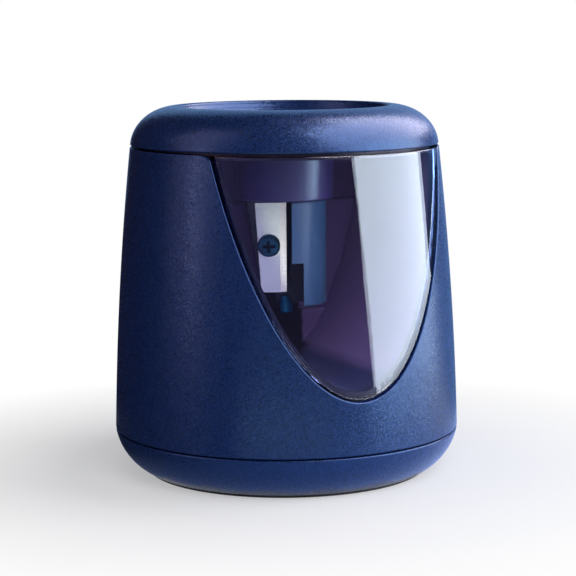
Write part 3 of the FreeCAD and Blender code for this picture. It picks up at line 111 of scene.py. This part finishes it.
PANEL_STEPS = 16
FULL_TURN = 360
OVERHEAD_RADIUS = 0.85
OVERHEAD_HEIGHT = 0.9

# Taper of the body's wall, and where painted shade on the edges behind the window begins, in metres
BODY_TAPER = 0.0677
RIM_SHADE_SPAN = (0.0386, 0.0393)

# Height of the seam under the cap, how far its painted shade line reaches, and the
# window's band of painted shade below it, in metres
CAP_SEAM = 0.0776
CAP_SEAM_REACH = 0.00025
WINDOW_TOP_SHADE = 0.0006

# U-shaped cut: half an ellipse, with its middle's height, its half sizes, and how far in
# from it the painted shade line along its edge ends, in metres
ARCH_CENTRE = 0.0977
ARCH_HALF_WIDTH = 0.0296
ARCH_HALF_HEIGHT = 0.0752
EDGE_SHADE_LINE = (0.0010, 0.0013)

# Painted shadow of the holder on the walls below and behind the cutter: half width, top,
# and front of the patch, each with a soft edge, and how far its outline wanders, in metres
SHADOW_HALF_WIDTH = (0.0080, 0.0088)
SHADOW_TOP = (0.041, 0.044)
SHADOW_FRONT = (0.003, 0.007)
SHADOW_WANDER = 0.0003

# Blade: the direction that its flat faces, its turn from the front in degrees, how far
# its shading leans up, and how much the bevel's shading leans to the flat's direction
BLADE_FACE = (-0.416, -0.893, -0.170)
BLADE_TURN = -25.0
BLADE_LIFT = 0.079
BEVEL_POLISH = 5.0

# Blade's screw: the middle of its head, and its recess, where shade is painted; then the
# stop's top, in metres
SCREW_TOP = (-0.00528, -0.00222, 0.05392)
RECESS_DEPTH = 0.00012
RECESS_RADIUS = 0.0017
STOP_TOP = 0.047

# Holder, in the blade's own directions: where its painted shade starts, how deep it is
# full, and the sides of the slot, in metres
SLOT_SHADE_DEPTH = (-0.0012, -0.0002)
SLOT_SHADE_RIGHT = 0.0046
SLOT_SHADE_LEFT = 0.0002

# Flakes per metre, how far they lean, and the roughness that they run between
FLAKE_SCALE = 4300.0
FLAKE_TILT = 0.12
FLAKE_ROUGHNESS = (0.21, 0.43)

# Lathe rings on brass, in radians per metre
RING_PITCH = 42000.0

# Ranges of a noise: its middle, and those that clouds, marks, scuffs and slot shade come from
NOISE_SPAN = (0.3, 0.7)
CLOUD_SPAN = (0.35, 0.65)
MARK_SPAN = (0.35, 0.75)
SCUFF_SPAN = (0.4, 0.8)
SLOT_SHADE_SPAN = (0.3, 0.6)

# What those ranges give: a share of a second tone, a roughness, or a share of metal; then
# how far the roughness of plating varies
CLOUD_SHARE = (0.0, 0.35)
SLOT_SHADE_SHARE = (0.85, 1.0)
TARNISH_SHARE = (0.0, 0.6)
SATIN_WANDER = (-0.03, 0.03)
WINDOW_ROUGHNESS = (0.004, 0.02)
BLADE_ROUGHNESS = (0.17, 0.24)
BLADE_METAL = (0.8, 0.85)
BRASS_ROUGHNESS = (0.2, 0.42)
CELL_ROUGHNESS = (0.22, 0.36)
PLATING_WEAR = 0.3

# Parts of a normal that count as facing a way
# Where painted shade falls on the back wall and the channel's floor
BACK_WALL_FACING = (-0.7, -0.3)
CHANNEL_FACING = (0.72, 0.84)
CUT_EDGE_FACING = 0.35
FLAT_FACING = 0.975
FRONT_FACING = 0.8
END_FACING = 0.9


# Node helpers


def new_finish(name):
    """A material with its node tree and its shader."""
    finish = bpy.data.materials.new(name)
    finish.use_nodes = True
    return finish, finish.node_tree, finish.node_tree.nodes["Principled BSDF"]


def feed(tree, node, **values):
    """Sets a node's inputs, written with _ for spaces or as i and a number, to numbers or links."""
    for key, value in values.items():
        name = int(key[1:]) if key[1:].isdigit() else key.replace("_", " ")
        socket = node.inputs[name]
        if isinstance(value, bpy.types.NodeSocket):
            tree.links.new(value, socket)
        else:
            socket.default_value = value
    return node


def make(tree, kind, settings=None, **values):
    """A new node of a kind, with its settings and inputs."""
    node = tree.nodes.new("ShaderNode" + kind)
    for key, value in (settings or {}).items():
        setattr(node, key, value)
    return feed(tree, node, **values)


def place(tree):
    """Object coordinates, in metres."""
    return make(tree, "TexCoord").outputs["Object"]


def xyz(tree, vector):
    """The X, Y and Z of a vector."""
    return make(tree, "SeparateXYZ", None, Vector=vector).outputs


def facing(tree):
    """The X, Y and Z of the surface's direction, in the object's frame."""
    return xyz(tree, make(tree, "TexCoord").outputs["Normal"])


def math_node(tree, operation, first, second=0.0, clamp=False):
    """A step of arithmetic on numbers."""
    settings = {"operation": operation, "use_clamp": clamp}
    return make(tree, "Math", settings, i0=first, i1=second).outputs[0]


def vector_math(tree, operation, first, second=None, scale=None):
    """A step of vector arithmetic; a dot product or a length gives a number."""
    node = make(tree, "VectorMath", {"operation": operation}, i0=first)
    if second is not None:
        feed(tree, node, i1=second)
    if scale is not None:
        feed(tree, node, Scale=scale)
    return node.outputs["Value" if operation in ("DOT_PRODUCT", "LENGTH") else "Vector"]


def lean(tree, normal, push):
    """A shading normal pushed aside by a vector."""
    return vector_math(tree, "NORMALIZE", vector_math(tree, "ADD", normal, push))


def noise(tree, scale, detail=2.0, roughness=0.5, vector=None):
    """Cloudy noise, at a scale per metre."""
    node = make(tree, "TexNoise", None, Vector=vector or place(tree), Scale=scale)
    return feed(tree, node, Detail=detail, Roughness=roughness).outputs["Fac"]


def spread(tree, value, low, high, to_low, to_high):
    """Maps low..high on to to_low..to_high."""
    node = make(tree, "MapRange", None, Value=value, From_Min=low, From_Max=high)
    return feed(tree, node, To_Min=to_low, To_Max=to_high).outputs["Result"]


def blend(tree, factor, first, second):
    """Mixes two colours: factor 0 gives the first."""
    node = make(tree, "Mix", {"data_type": "RGBA"}, Factor=factor)
    return feed(tree, node, i6=first, i7=second).outputs[2]


def bump(tree, height, strength, distance):
    """A shading normal from a height; the distance is in metres."""
    node = make(tree, "Bump", None, Height=height, Strength=strength, Distance=distance)
    return node.outputs["Normal"]


def colour(r, g, b):
    """Colour from 0-255 display values."""
    def linear(v):
        v = v / 255
        return v / 12.92 if v <= 0.04045 else ((v + 0.055) / 1.055) ** 2.4
    return (linear(r), linear(g), linear(b), 1.0)


def shade(finish, tree, shader, **values):
    """Sets the shader's inputs and gives back its finish."""
    feed(tree, shader, **values)
    return finish


def reopen(finish):
    """A finish's tree, its shader, and the tone that its shader has so far."""
    tree = finish.node_tree
    shader = tree.nodes["Principled BSDF"]
    return tree, shader, shader.inputs["Base Color"].links[0].from_socket


def show(tree, surface):
    """Puts a shader out on the surface in place of the first one."""
    tree.links.new(surface, tree.nodes["Material Output"].inputs["Surface"])


# Places and patterns on the pieces


def turned_place(tree, centre=(0.0, 0.0, 0.0), angle=0.0, stretch=(1.0, 1.0, 1.0)):
    """Object coordinates about a centre, turned about Z and stretched."""
    node = make(tree, "Mapping", {"vector_type": "TEXTURE"}, Vector=place(tree), Location=centre)
    feed(tree, node, Rotation=(0.0, 0.0, math.radians(angle)))
    return vector_math(tree, "MULTIPLY", node.outputs[0], stretch)


def from_axis(tree):
    """Distance from the pencil axis, in metres."""
    return vector_math(tree, "LENGTH", turned_place(tree, stretch=(1.0, 1.0, 0.0)))


def scratches(tree, scale, stretch):
    """Long fine marks: noise drawn out along one direction."""
    drawn = turned_place(tree, stretch=stretch)
    return noise(tree, scale, detail=3.0, roughness=0.6, vector=drawn)


def seam_shade_line(tree):
    """1 in the narrow gap between the cap and the body, where shade is painted; 0 above and below
    it.
    """
    off = math_node(tree, "SUBTRACT", xyz(tree, place(tree))["Z"], CAP_SEAM)
    return math_node(tree, "LESS_THAN", math_node(tree, "ABSOLUTE", off), CAP_SEAM_REACH)


def rim_shade_mask(tree):
    """1 on the edges close behind the window's tapered wall, where shade is painted; 0 further in.
    """
    taper = math_node(tree, "MULTIPLY", xyz(tree, place(tree))["Z"], BODY_TAPER)
    return spread(tree, math_node(tree, "ADD", from_axis(tree), taper), *RIM_SHADE_SPAN, 0.0, 1.0)


def arch_inset(tree):
    """Distance in from the outline of the U-shaped cut, seen from the front, in metres."""
    half = (1 / ARCH_HALF_WIDTH, 0.0, 1 / ARCH_HALF_HEIGHT)
    centred = turned_place(tree, centre=(0.0, 0.0, ARCH_CENTRE))
    scaled = vector_math(tree, "MULTIPLY", centred, half)
    share = vector_math(tree, "LENGTH", scaled)
    slope = vector_math(tree, "LENGTH", vector_math(tree, "MULTIPLY", scaled, half))
    inside = math_node(tree, "MULTIPLY", math_node(tree, "SUBTRACT", 1.0, share), share)
    return math_node(tree, "DIVIDE", inside, slope)


def holder_shadow_patch(tree):
    """1 where the holder's shadow is painted on the walls below and behind the cutter."""
    wander = noise(tree, scale=260.0, detail=3.0)
    wander = spread(tree, wander, *NOISE_SPAN, -SHADOW_WANDER, SHADOW_WANDER)
    spot = xyz(tree, place(tree))
    aside = math_node(tree, "ADD", math_node(tree, "ABSOLUTE", spot["X"]), wander)
    across = spread(tree, aside, *SHADOW_HALF_WIDTH, 1.0, 0.0)
    below = spread(tree, spot["Z"], *SHADOW_TOP, 1.0, 0.0)
    behind = spread(tree, spot["Y"], *SHADOW_FRONT, 0.0, 1.0)
    return math_node(tree, "MULTIPLY", math_node(tree, "MULTIPLY", across, below), behind)


# Finishes


# Tones; a pair is the two ends of a mottled one
NAVY = (colour(2, 17, 49), colour(20, 43, 97))
CLOUD_NAVY = colour(9, 33, 82)
NAVY_GLOSS = (0.4, 0.65, 1.0, 1.0)
SMOKE = (colour(246, 246, 251), colour(249, 249, 252))
CUT_EDGE_BLUE = colour(48, 72, 136)
# Painted shade in the gap under the cap, at the window's top and along the U-shaped cut
GAP_SHADE_TONE = colour(10, 9, 16)
# Painted shade on the edges close behind the window
RIM_SHADE_TONE = colour(26, 28, 52)
# Painted shade on the channel's floor
CHANNEL_SHADE_TONE = colour(46, 53, 88)
# Painted shade on the back wall, on faces towards the window
BACK_WALL_SHADE_TONE = colour(94, 79, 121)
# Painted shadow of the holder below the cutter
HOLDER_SHADOW_TONE = colour(9, 14, 24)
# Painted shade in the holder's slot and notch
SLOT_SHADE_TONE = colour(10, 17, 30)
COLLAR_GLOSS = (0.7, 0.9, 1.0, 1.0)
FLAT_STEEL = (colour(240, 254, 248), colour(245, 255, 252))
BEVEL_STEEL = (colour(248, 249, 246), colour(254, 254, 251))
STOP_BLUE = colour(3, 86, 120)
# Painted shade in the screw's recess
RECESS_SHADE_TONE = colour(5, 12, 18)
BRIGHT_BRASS = colour(212, 176, 104)
TARNISHED_BRASS = colour(158, 118, 62)
GREEN_FILM = (colour(46, 92, 74), colour(66, 116, 94))
BARE_METAL = colour(198, 196, 190)
FLOOR_TONE = colour(240, 240, 242)


def navy_flake_plastic():
    """Satin navy plastic with fine metallic flake just under its surface."""
    finish, tree, shader = new_finish("navy_flake_plastic")
    flake = make(tree, "TexVoronoi", {"feature": "F1"}, Vector=place(tree), Scale=FLAKE_SCALE)
    flake = feed(tree, flake, Randomness=1.0).outputs["Color"]
    tilt = vector_math(tree, "SUBTRACT", flake, (0.5, 0.5, 0.5))
    tilt = vector_math(tree, "SCALE", tilt, scale=FLAKE_TILT)
    tilted = lean(tree, make(tree, "NewGeometry").outputs["Normal"], tilt)
    chance = make(tree, "SeparateColor", None, Color=flake).outputs
    tone = blend(tree, chance[0], *NAVY)
    cloud = spread(tree, noise(tree, scale=55.0, detail=3.0), *CLOUD_SPAN, *CLOUD_SHARE)
    tone = blend(tree, cloud, tone, CLOUD_NAVY)
    # Painted shade: a dark line in the gap between the cap and the body
    tone = blend(tree, seam_shade_line(tree), tone, GAP_SHADE_TONE)
    satin = spread(tree, noise(tree, scale=260.0, detail=4.0), *NOISE_SPAN, *SATIN_WANDER)
    satin = math_node(tree, "ADD", satin, spread(tree, chance[1], 0.0, 1.0, *FLAKE_ROUGHNESS))
    feed(tree, shader, Metallic=0.06, Specular_IOR_Level=0.57, Specular_Tint=NAVY_GLOSS)
    return shade(finish, tree, shader, Base_Color=tone, Roughness=satin, Normal=tilted)


def smoked_clear_plastic():
    """Clear plastic with a light blue-violet smoke, polished, with faint wipe marks."""
    finish, tree, shader = new_finish("smoked_clear_plastic")
    marks = scratches(tree, scale=60.0, stretch=(1.0, 1.0, 5.0))
    wiped = spread(tree, marks, *MARK_SPAN, *WINDOW_ROUGHNESS)
    smoke = blend(tree, noise(tree, scale=30.0), *SMOKE)
    forwards = math_node(tree, "ABSOLUTE", facing(tree)["Y"])
    cut_edge = math_node(tree, "LESS_THAN", forwards, CUT_EDGE_FACING)
    smoke = blend(tree, cut_edge, smoke, CUT_EDGE_BLUE)
    # Painted shade: a dark band along the window's top edge, under the cap
    height = xyz(tree, place(tree))["Z"]
    top_edge_shade = math_node(tree, "GREATER_THAN", height, CAP_SEAM - WINDOW_TOP_SHADE)
    smoke = blend(tree, top_edge_shade, smoke, GAP_SHADE_TONE)
    feed(tree, shader, Base_Color=smoke, Roughness=wiped, IOR=1.49, Transmission_Weight=1.0)
    through = make(tree, "BsdfTransparent", None, Color=smoke)
    shadow = make(tree, "LightPath").outputs["Is Shadow Ray"]
    mix = make(tree, "MixShader", None, Fac=shadow, i1=shader.outputs[0], i2=through.outputs[0])
    show(tree, mix.outputs[0])
    return finish


def chamber_tone(tree, tone, rim_shade):
    """Painted shade in the shavings space: on its back wall, on the channel's floor, the
    holder's painted shadow, and on the edges next to the window."""
    face = facing(tree)
    # Painted shade on faces towards the window, and on the channel's floor
    tone = blend(tree, spread(tree, face["Y"], *BACK_WALL_FACING, 1.0, 0.0), tone, BACK_WALL_SHADE_TONE)
    tone = blend(tree, spread(tree, face["Z"], *CHANNEL_FACING, 0.0, 1.0), tone, CHANNEL_SHADE_TONE)
    # Painted shadow of the holder on the walls below and behind the cutter
    tone = blend(tree, holder_shadow_patch(tree), tone, HOLDER_SHADOW_TONE)
    # Painted shade on the edges close behind the window, darkest along the U-shaped cut
    edge_shade = spread(tree, arch_inset(tree), *EDGE_SHADE_LINE, 0.0, 1.0)
    return blend(tree, rim_shade_mask(tree), tone, blend(tree, edge_shade, GAP_SHADE_TONE, rim_shade))


def moulded_plastic(
        name, deep, pale, roughness, grain, specular=0.5, gloss=WHITE, rim_shade=None, wear=0.2):
    """Moulded plastic: slow flow marks in its tone, fine grain, and scuffs in its gloss.

    grain is its scale per metre and its depth in metres; rim_shade adds the chamber's painted
    shade.
    """
    finish, tree, shader = new_finish(name)
    grain_scale, grain_depth = grain
    flow = noise(tree, scale=70.0, detail=4.0, roughness=0.55)
    tone = blend(tree, spread(tree, flow, *NOISE_SPAN, 0.0, 1.0), deep, pale)
    if rim_shade:
        tone = chamber_tone(tree, tone, rim_shade)
    fresh, worn = roughness * (1 - wear), roughness * (1 + wear)
    marks = scratches(tree, scale=240.0, stretch=(1.0, 1.0, 0.2))
    scuff = spread(tree, marks, *SCUFF_SPAN, fresh, worn)
    bumps = noise(tree, grain_scale, detail=3.0)
    skin = bump(tree, bumps, strength=0.25, distance=grain_depth)
    feed(tree, shader, Base_Color=tone, Roughness=scuff, Normal=skin)
    return shade(finish, tree, shader, Specular_IOR_Level=specular, Specular_Tint=gloss)


def ground_blade_steel():
    """Ground steel: fine lines across the blade, and a freshly ground, brighter bevel."""
    finish, tree, shader = new_finish("ground_blade_steel")
    lines = scratches(tree, scale=4200.0, stretch=(0.05, 0.05, 1.0))
    towards = vector_math(tree, "DOT_PRODUCT", make(tree, "TexCoord").outputs["Normal"], BLADE_FACE)
    flat = math_node(tree, "GREATER_THAN", towards, FLAT_FACING)
    front = math_node(tree, "GREATER_THAN", towards, FRONT_FACING)
    tone = blend(tree, flat, blend(tree, lines, *BEVEL_STEEL), blend(tree, lines, *FLAT_STEEL))
    metal = spread(tree, flat, 0.0, 1.0, *BLADE_METAL)
    rough = spread(tree, lines, *NOISE_SPAN, *BLADE_ROUGHNESS)
    # The bevel's shading leans to the flat's direction, and both lean up a little
    honed = math_node(tree, "MULTIPLY", math_node(tree, "SUBTRACT", 1.0, flat), front)
    frames = {"vector_type": "NORMAL", "convert_from": "OBJECT", "convert_to": "WORLD"}
    outward = make(tree, "VectorTransform", frames, Vector=BLADE_FACE).outputs[0]
    polish = math_node(tree, "MULTIPLY", honed, BEVEL_POLISH)
    skin = bump(tree, lines, strength=0.04, distance=0.00003)
    skin = lean(tree, skin, vector_math(tree, "SCALE", outward, scale=polish))
    skin = lean(tree, skin, vector_math(tree, "SCALE", (0.0, 0.0, BLADE_LIFT), scale=front))
    return shade(
        finish, tree, shader, Base_Color=tone, Metallic=metal, Roughness=rough, Normal=skin)


def shaded_holder_plastic():
    """Slate plastic, with painted shade in the slot, the notch and along the blade's side."""
    finish = moulded_plastic(
        "slate_holder_plastic", colour(48, 77, 111), colour(53, 83, 118),
        roughness=0.36, grain=(900.0, 0.00001), specular=0.35, wear=0.06)
    tree, shader, clean = reopen(finish)
    # Painted shade in the slot, the notch and along the blade's side, broken up by noise
    local = xyz(tree, turned_place(tree, angle=BLADE_TURN))
    deep = spread(tree, local["Y"], *SLOT_SHADE_DEPTH, 0.0, 1.0)
    deep = math_node(tree, "MULTIPLY", deep, math_node(tree, "LESS_THAN", local["X"], SLOT_SHADE_RIGHT))
    slot_shade = math_node(tree, "MAXIMUM", deep, math_node(tree, "LESS_THAN", local["X"], SLOT_SHADE_LEFT))
    cover = spread(tree, noise(tree, scale=900.0, detail=4.0), *SLOT_SHADE_SPAN, *SLOT_SHADE_SHARE)
    slot_shade = math_node(tree, "MULTIPLY", slot_shade, cover)
    return shade(finish, tree, shader, Base_Color=blend(tree, slot_shade, clean, SLOT_SHADE_TONE))


def plated_steel(name, deep, pale, roughness, stretch, scale=900.0, metallic=1.0):
    """Plated steel with drawn-out tool marks and cloudy plating."""
    finish, tree, shader = new_finish(name)
    marks = scratches(tree, scale, stretch)
    cloud = spread(tree, noise(tree, scale=160.0, detail=4.0), *NOISE_SPAN, 0.0, 1.0)
    tone = blend(tree, cloud, deep, pale)
    fresh, worn = roughness * (1 - PLATING_WEAR), roughness * (1 + PLATING_WEAR)
    rough = spread(tree, marks, *NOISE_SPAN, fresh, worn)
    skin = bump(tree, marks, strength=0.15, distance=0.00004)
    return shade(
        finish, tree, shader, Base_Color=tone, Metallic=metallic, Roughness=rough, Normal=skin)


def dark_teal_screw():
    """Teal-black plating: painted shade in the blade's screw recess, and a deeper blue stop."""
    finish = plated_steel(
        "dark_teal_screw", colour(18, 62, 84), colour(32, 94, 120),
        roughness=0.2, stretch=(1.0, 1.0, 0.2), metallic=0.75)
    tree, shader, plating = reopen(finish)
    stop = math_node(tree, "LESS_THAN", xyz(tree, place(tree))["Z"], STOP_TOP)
    plating = blend(tree, stop, plating, STOP_BLUE)
    # Painted shade in the recess of the blade's screw
    from_top = vector_math(tree, "SUBTRACT", place(tree), SCREW_TOP)
    rise = vector_math(tree, "DOT_PRODUCT", from_top, BLADE_FACE)
    sunk = math_node(tree, "LESS_THAN", rise, -RECESS_DEPTH)
    near = math_node(tree, "LESS_THAN", vector_math(tree, "LENGTH", from_top), RECESS_RADIUS)
    recess = math_node(tree, "MULTIPLY", sunk, near)
    return shade(finish, tree, shader, Base_Color=blend(tree, recess, plating, RECESS_SHADE_TONE))


def turned_brass():
    """Turned brass with fine rings round the pencil axis and light tarnish."""
    finish, tree, shader = new_finish("turned_brass")
    rings = math_node(tree, "SINE", math_node(tree, "MULTIPLY", from_axis(tree), RING_PITCH))
    tarnish = spread(tree, noise(tree, scale=300.0, detail=4.0), *MARK_SPAN, *TARNISH_SHARE)
    tone = blend(tree, tarnish, BRIGHT_BRASS, TARNISHED_BRASS)
    rough = spread(tree, tarnish, *TARNISH_SHARE, *BRASS_ROUGHNESS)
    skin = bump(tree, rings, strength=0.1, distance=0.00002)
    return shade(finish, tree, shader, Base_Color=tone, Metallic=1.0, Roughness=rough, Normal=skin)


def plain_cell_sleeve():
    """Unprinted cell: a shrunk film sleeve with bare metal ends."""
    finish, tree, shader = new_finish("plain_cell_sleeve")
    upright = math_node(tree, "ABSOLUTE", facing(tree)["Z"])
    end = math_node(tree, "GREATER_THAN", upright, END_FACING)
    wrinkle = scratches(tree, scale=380.0, stretch=(1.0, 1.0, 0.12))
    tone = blend(tree, end, blend(tree, wrinkle, *GREEN_FILM), BARE_METAL)
    rough = spread(tree, wrinkle, *NOISE_SPAN, *CELL_ROUGHNESS)
    skin = bump(tree, wrinkle, strength=0.2, distance=0.0001)
    return shade(finish, tree, shader, Base_Color=tone, Metallic=end, Roughness=rough, Normal=skin)


# Finishes by the record's material slots, and two nodes that have their own
FINISHES = {
    "shell_plastic": navy_flake_plastic(),
    "smoked_window": smoked_clear_plastic(),
    "chamber_plastic": moulded_plastic(
        "violet_chamber_plastic", colour(110, 94, 138), colour(116, 100, 144),
        roughness=0.3, grain=(700.0, 0.00001), specular=0.3, rim_shade=RIM_SHADE_TONE, wear=0.05),
    "holder_plastic": shaded_holder_plastic(),
    "blade_steel": ground_blade_steel(),
    "dark_screw": dark_teal_screw(),
    "steel": plated_steel(
        "bright_screw_steel", colour(168, 168, 172), colour(202, 202, 206),
        roughness=0.3, stretch=(1.0, 1.0, 0.15)),
    "brass": turned_brass(),
    "gear_plastic": moulded_plastic(
        "natural_gear_plastic", colour(222, 218, 202), colour(236, 233, 222),
        roughness=0.45, grain=(1200.0, 0.00005)),
    "black_plastic": moulded_plastic(
        "black_moulded_plastic", colour(22, 22, 26), colour(34, 34, 38),
        roughness=0.4, grain=(1400.0, 0.00008)),
    "rubber": moulded_plastic(
        "foot_rubber", colour(26, 26, 28), colour(42, 42, 44),
        roughness=0.75, grain=(2200.0, 0.00015), specular=0.3),
    "motor_steel": plated_steel(
        "plated_motor_can", colour(158, 158, 154), colour(190, 190, 186),
        roughness=0.36, stretch=(1.0, 1.0, 0.08), scale=500.0),
    "cell_jacket": plain_cell_sleeve(),
    "contact_metal": plated_steel(
        "nickel_contact", colour(186, 180, 164), colour(212, 206, 192),
        roughness=0.26, stretch=(0.1, 1.0, 1.0)),
    "lead_red": moulded_plastic(
        "red_lead_cover", colour(150, 24, 22), colour(184, 40, 34),
        roughness=0.38, grain=(1800.0, 0.00005)),
    "lead_black": moulded_plastic(
        "black_lead_cover", colour(20, 20, 22), colour(36, 36, 38),
        roughness=0.38, grain=(1800.0, 0.00005)),
}
OWN_FINISHES = {
    "bearing_collar": moulded_plastic(
        "polished_collar_plastic", colour(50, 42, 88), colour(55, 47, 95),
        roughness=0.35, grain=(1500.0, 0.00001), specular=0.8, gloss=COLLAR_GLOSS, wear=0.05),
    "mechanism_deck": moulded_plastic(
        "dark_deck_plastic", colour(46, 39, 62), colour(54, 46, 70),
        roughness=0.4, grain=(1200.0, 0.00005), specular=0.3),
}

for row in frame["record"]["subparts"]:
    finish = OWN_FINISHES.get(row["node"]) or FINISHES[row["material_slot"]]
    for holder in NODES[row["node"]].material_slots:
        holder.material = finish


# Stage, light and camera


def stage_object(name, shape, finish):
    """A piece of the stage, from a bmesh and its finish."""
    mesh = bpy.data.meshes.new(name)
    shape.to_mesh(mesh)
    shape.free()
    mesh.materials.append(finish)
    thing = bpy.data.objects.new(name, mesh)
    bpy.context.scene.collection.objects.link(thing)
    return thing


def seen_ray(tree):
    """1 for rays that show a background: camera, glossy and transmission."""
    ray = make(tree, "LightPath")
    seen = math_node(tree, "ADD", ray.outputs["Is Camera Ray"], ray.outputs["Is Glossy Ray"])
    return math_node(tree, "ADD", seen, ray.outputs["Is Transmission Ray"], clamp=True)


def pale_floor():
    """A round floor that takes the object's shadow and fades to plain white around it."""
    shape = bmesh.new()
    bmesh.ops.create_circle(shape, cap_ends=True, segments=96, radius=FLOOR_RADIUS)
    finish, tree, shader = new_finish("pale_floor")
    feed(tree, shader, Base_Color=FLOOR_TONE, Roughness=FLOOR_ROUGHNESS)
    white = make(tree, "Emission", None, Color=WHITE, Strength=1.0)
    distance = vector_math(tree, "LENGTH", place(tree))
    fade = spread(tree, distance, *FLOOR_FADE, *FLOOR_WHITE)
    fade = math_node(tree, "MULTIPLY", fade, seen_ray(tree))
    mix = make(tree, "MixShader", None, Fac=fade, i1=shader.outputs[0], i2=white.outputs[0])
    show(tree, mix.outputs[0])
    return stage_object("floor", shape, finish)


def panel(name, shape, tint, strength, fade=None):
    """A panel that only reflections and clear plastic see; a fade grades its light."""
    finish, tree, _ = new_finish(name)
    light = make(tree, "Emission", None, Color=tint, Strength=strength)
    if fade:
        direction, start, end, far_strength = fade
        along = vector_math(tree, "DOT_PRODUCT", place(tree), direction)
        feed(tree, light, Strength=spread(tree, along, start, end, strength, far_strength))
    show(tree, light.outputs[0])
    thing = stage_object(name, shape, finish)
    thing.visible_camera = False
    thing.visible_diffuse = False
    thing.visible_shadow = False
    return thing


def right_softbox():
    """The bright flat panel that the window mirrors."""
    shape = bmesh.new()
    shape.faces.new([shape.verts.new(corner) for corner in SOFTBOX_CORNERS])
    return panel("right_softbox", shape, SOFTBOX_TINT, SOFTBOX_STRENGTH, SOFTBOX_FADE)


def overhead_flag():
    """A dark disc above the object."""
    shape = bmesh.new()
    lift = Matrix.Translation((0, 0, OVERHEAD_HEIGHT))
    bmesh.ops.create_circle(shape, cap_ends=True, segments=48, radius=OVERHEAD_RADIUS, matrix=lift)
    return panel("overhead_flag", shape, BLACK, 0.0)


def at(azimuth, height, reach):
    """A place round the object: azimuth 0 is in front, and grows to the right."""
    turn = math.radians(azimuth)
    return Vector((math.sin(turn) * reach, -math.cos(turn) * reach, height))


def bent_panel(name, start, end, low, high, tint, strength, fade):
    """A panel bent round the object between two azimuths."""
    shape = bmesh.new()
    ends = [shape.verts.new(at(start, *edge)) for edge in (low, high)]
    profile = ends + [shape.edges.new(ends)]
    bmesh.ops.spin(
        shape, geom=profile, axis=(0, 0, 1), cent=(0, 0, 0), angle=math.radians(end - start),
        steps=PANEL_STEPS, use_merge=end - start == FULL_TURN)
    return panel(name, shape, tint, strength, fade)


def soft_lamp(name, spot, width, power):
    """A square lamp that reflections and clear plastic don't see."""
    lamp = bpy.data.lights.new(name, "AREA")
    lamp.shape = "RECTANGLE"
    lamp.size = lamp.size_y = width
    lamp.energy = power
    thing = bpy.data.objects.new(name, lamp)
    thing.location = spot
    thing.rotation_euler = (Vector(LAMP_AIM) - Vector(spot)).to_track_quat("-Z", "Y").to_euler()
    thing.visible_glossy = False
    thing.visible_transmission = False
    bpy.context.scene.collection.objects.link(thing)
    return thing


def white_world():
    """A world that is white to look at and gives a low, even light."""
    world = bpy.data.worlds.new("studio")
    world.use_nodes = True
    tree = world.node_tree
    strength = spread(tree, seen_ray(tree), 0, 1, ROOM_LIGHT, 1.0)
    feed(tree, tree.nodes["Background"], Color=WHITE, Strength=strength)
    bpy.context.scene.world = world


def photo_camera():
    """The camera, where the photograph was taken from."""
    lens = bpy.data.cameras.new("photo_camera")
    lens.sensor_width = SENSOR_MM
    lens.lens = SENSOR_MM * FOCAL_PIXELS / FRAME_PIXELS
    lens.shift_x = 0.5 - AXIS_PIXEL / FRAME_PIXELS
    lens.clip_start = CAMERA_NEAR
    spot = Matrix.Translation(at(CAMERA_AZIMUTH, CAMERA_HEIGHT, CAMERA_REACH))
    heading = Matrix.Rotation(math.radians(CAMERA_AZIMUTH), 4, "Z")
    pitch = Matrix.Rotation(math.radians(90 - CAMERA_PITCH), 4, "X")
    roll = Matrix.Rotation(math.radians(CAMERA_ROLL), 4, "Z")
    thing = bpy.data.objects.new("photo_camera", lens)
    thing.matrix_world = spot @ heading @ pitch @ roll
    bpy.context.scene.collection.objects.link(thing)
    bpy.context.scene.camera = thing


pale_floor()
right_softbox()
for row in PANELS:
    bent_panel(*row)
overhead_flag()
for row in LAMPS:
    soft_lamp(*row)
white_world()
photo_camera()
bpy.context.scene.view_settings.view_transform = "Standard"
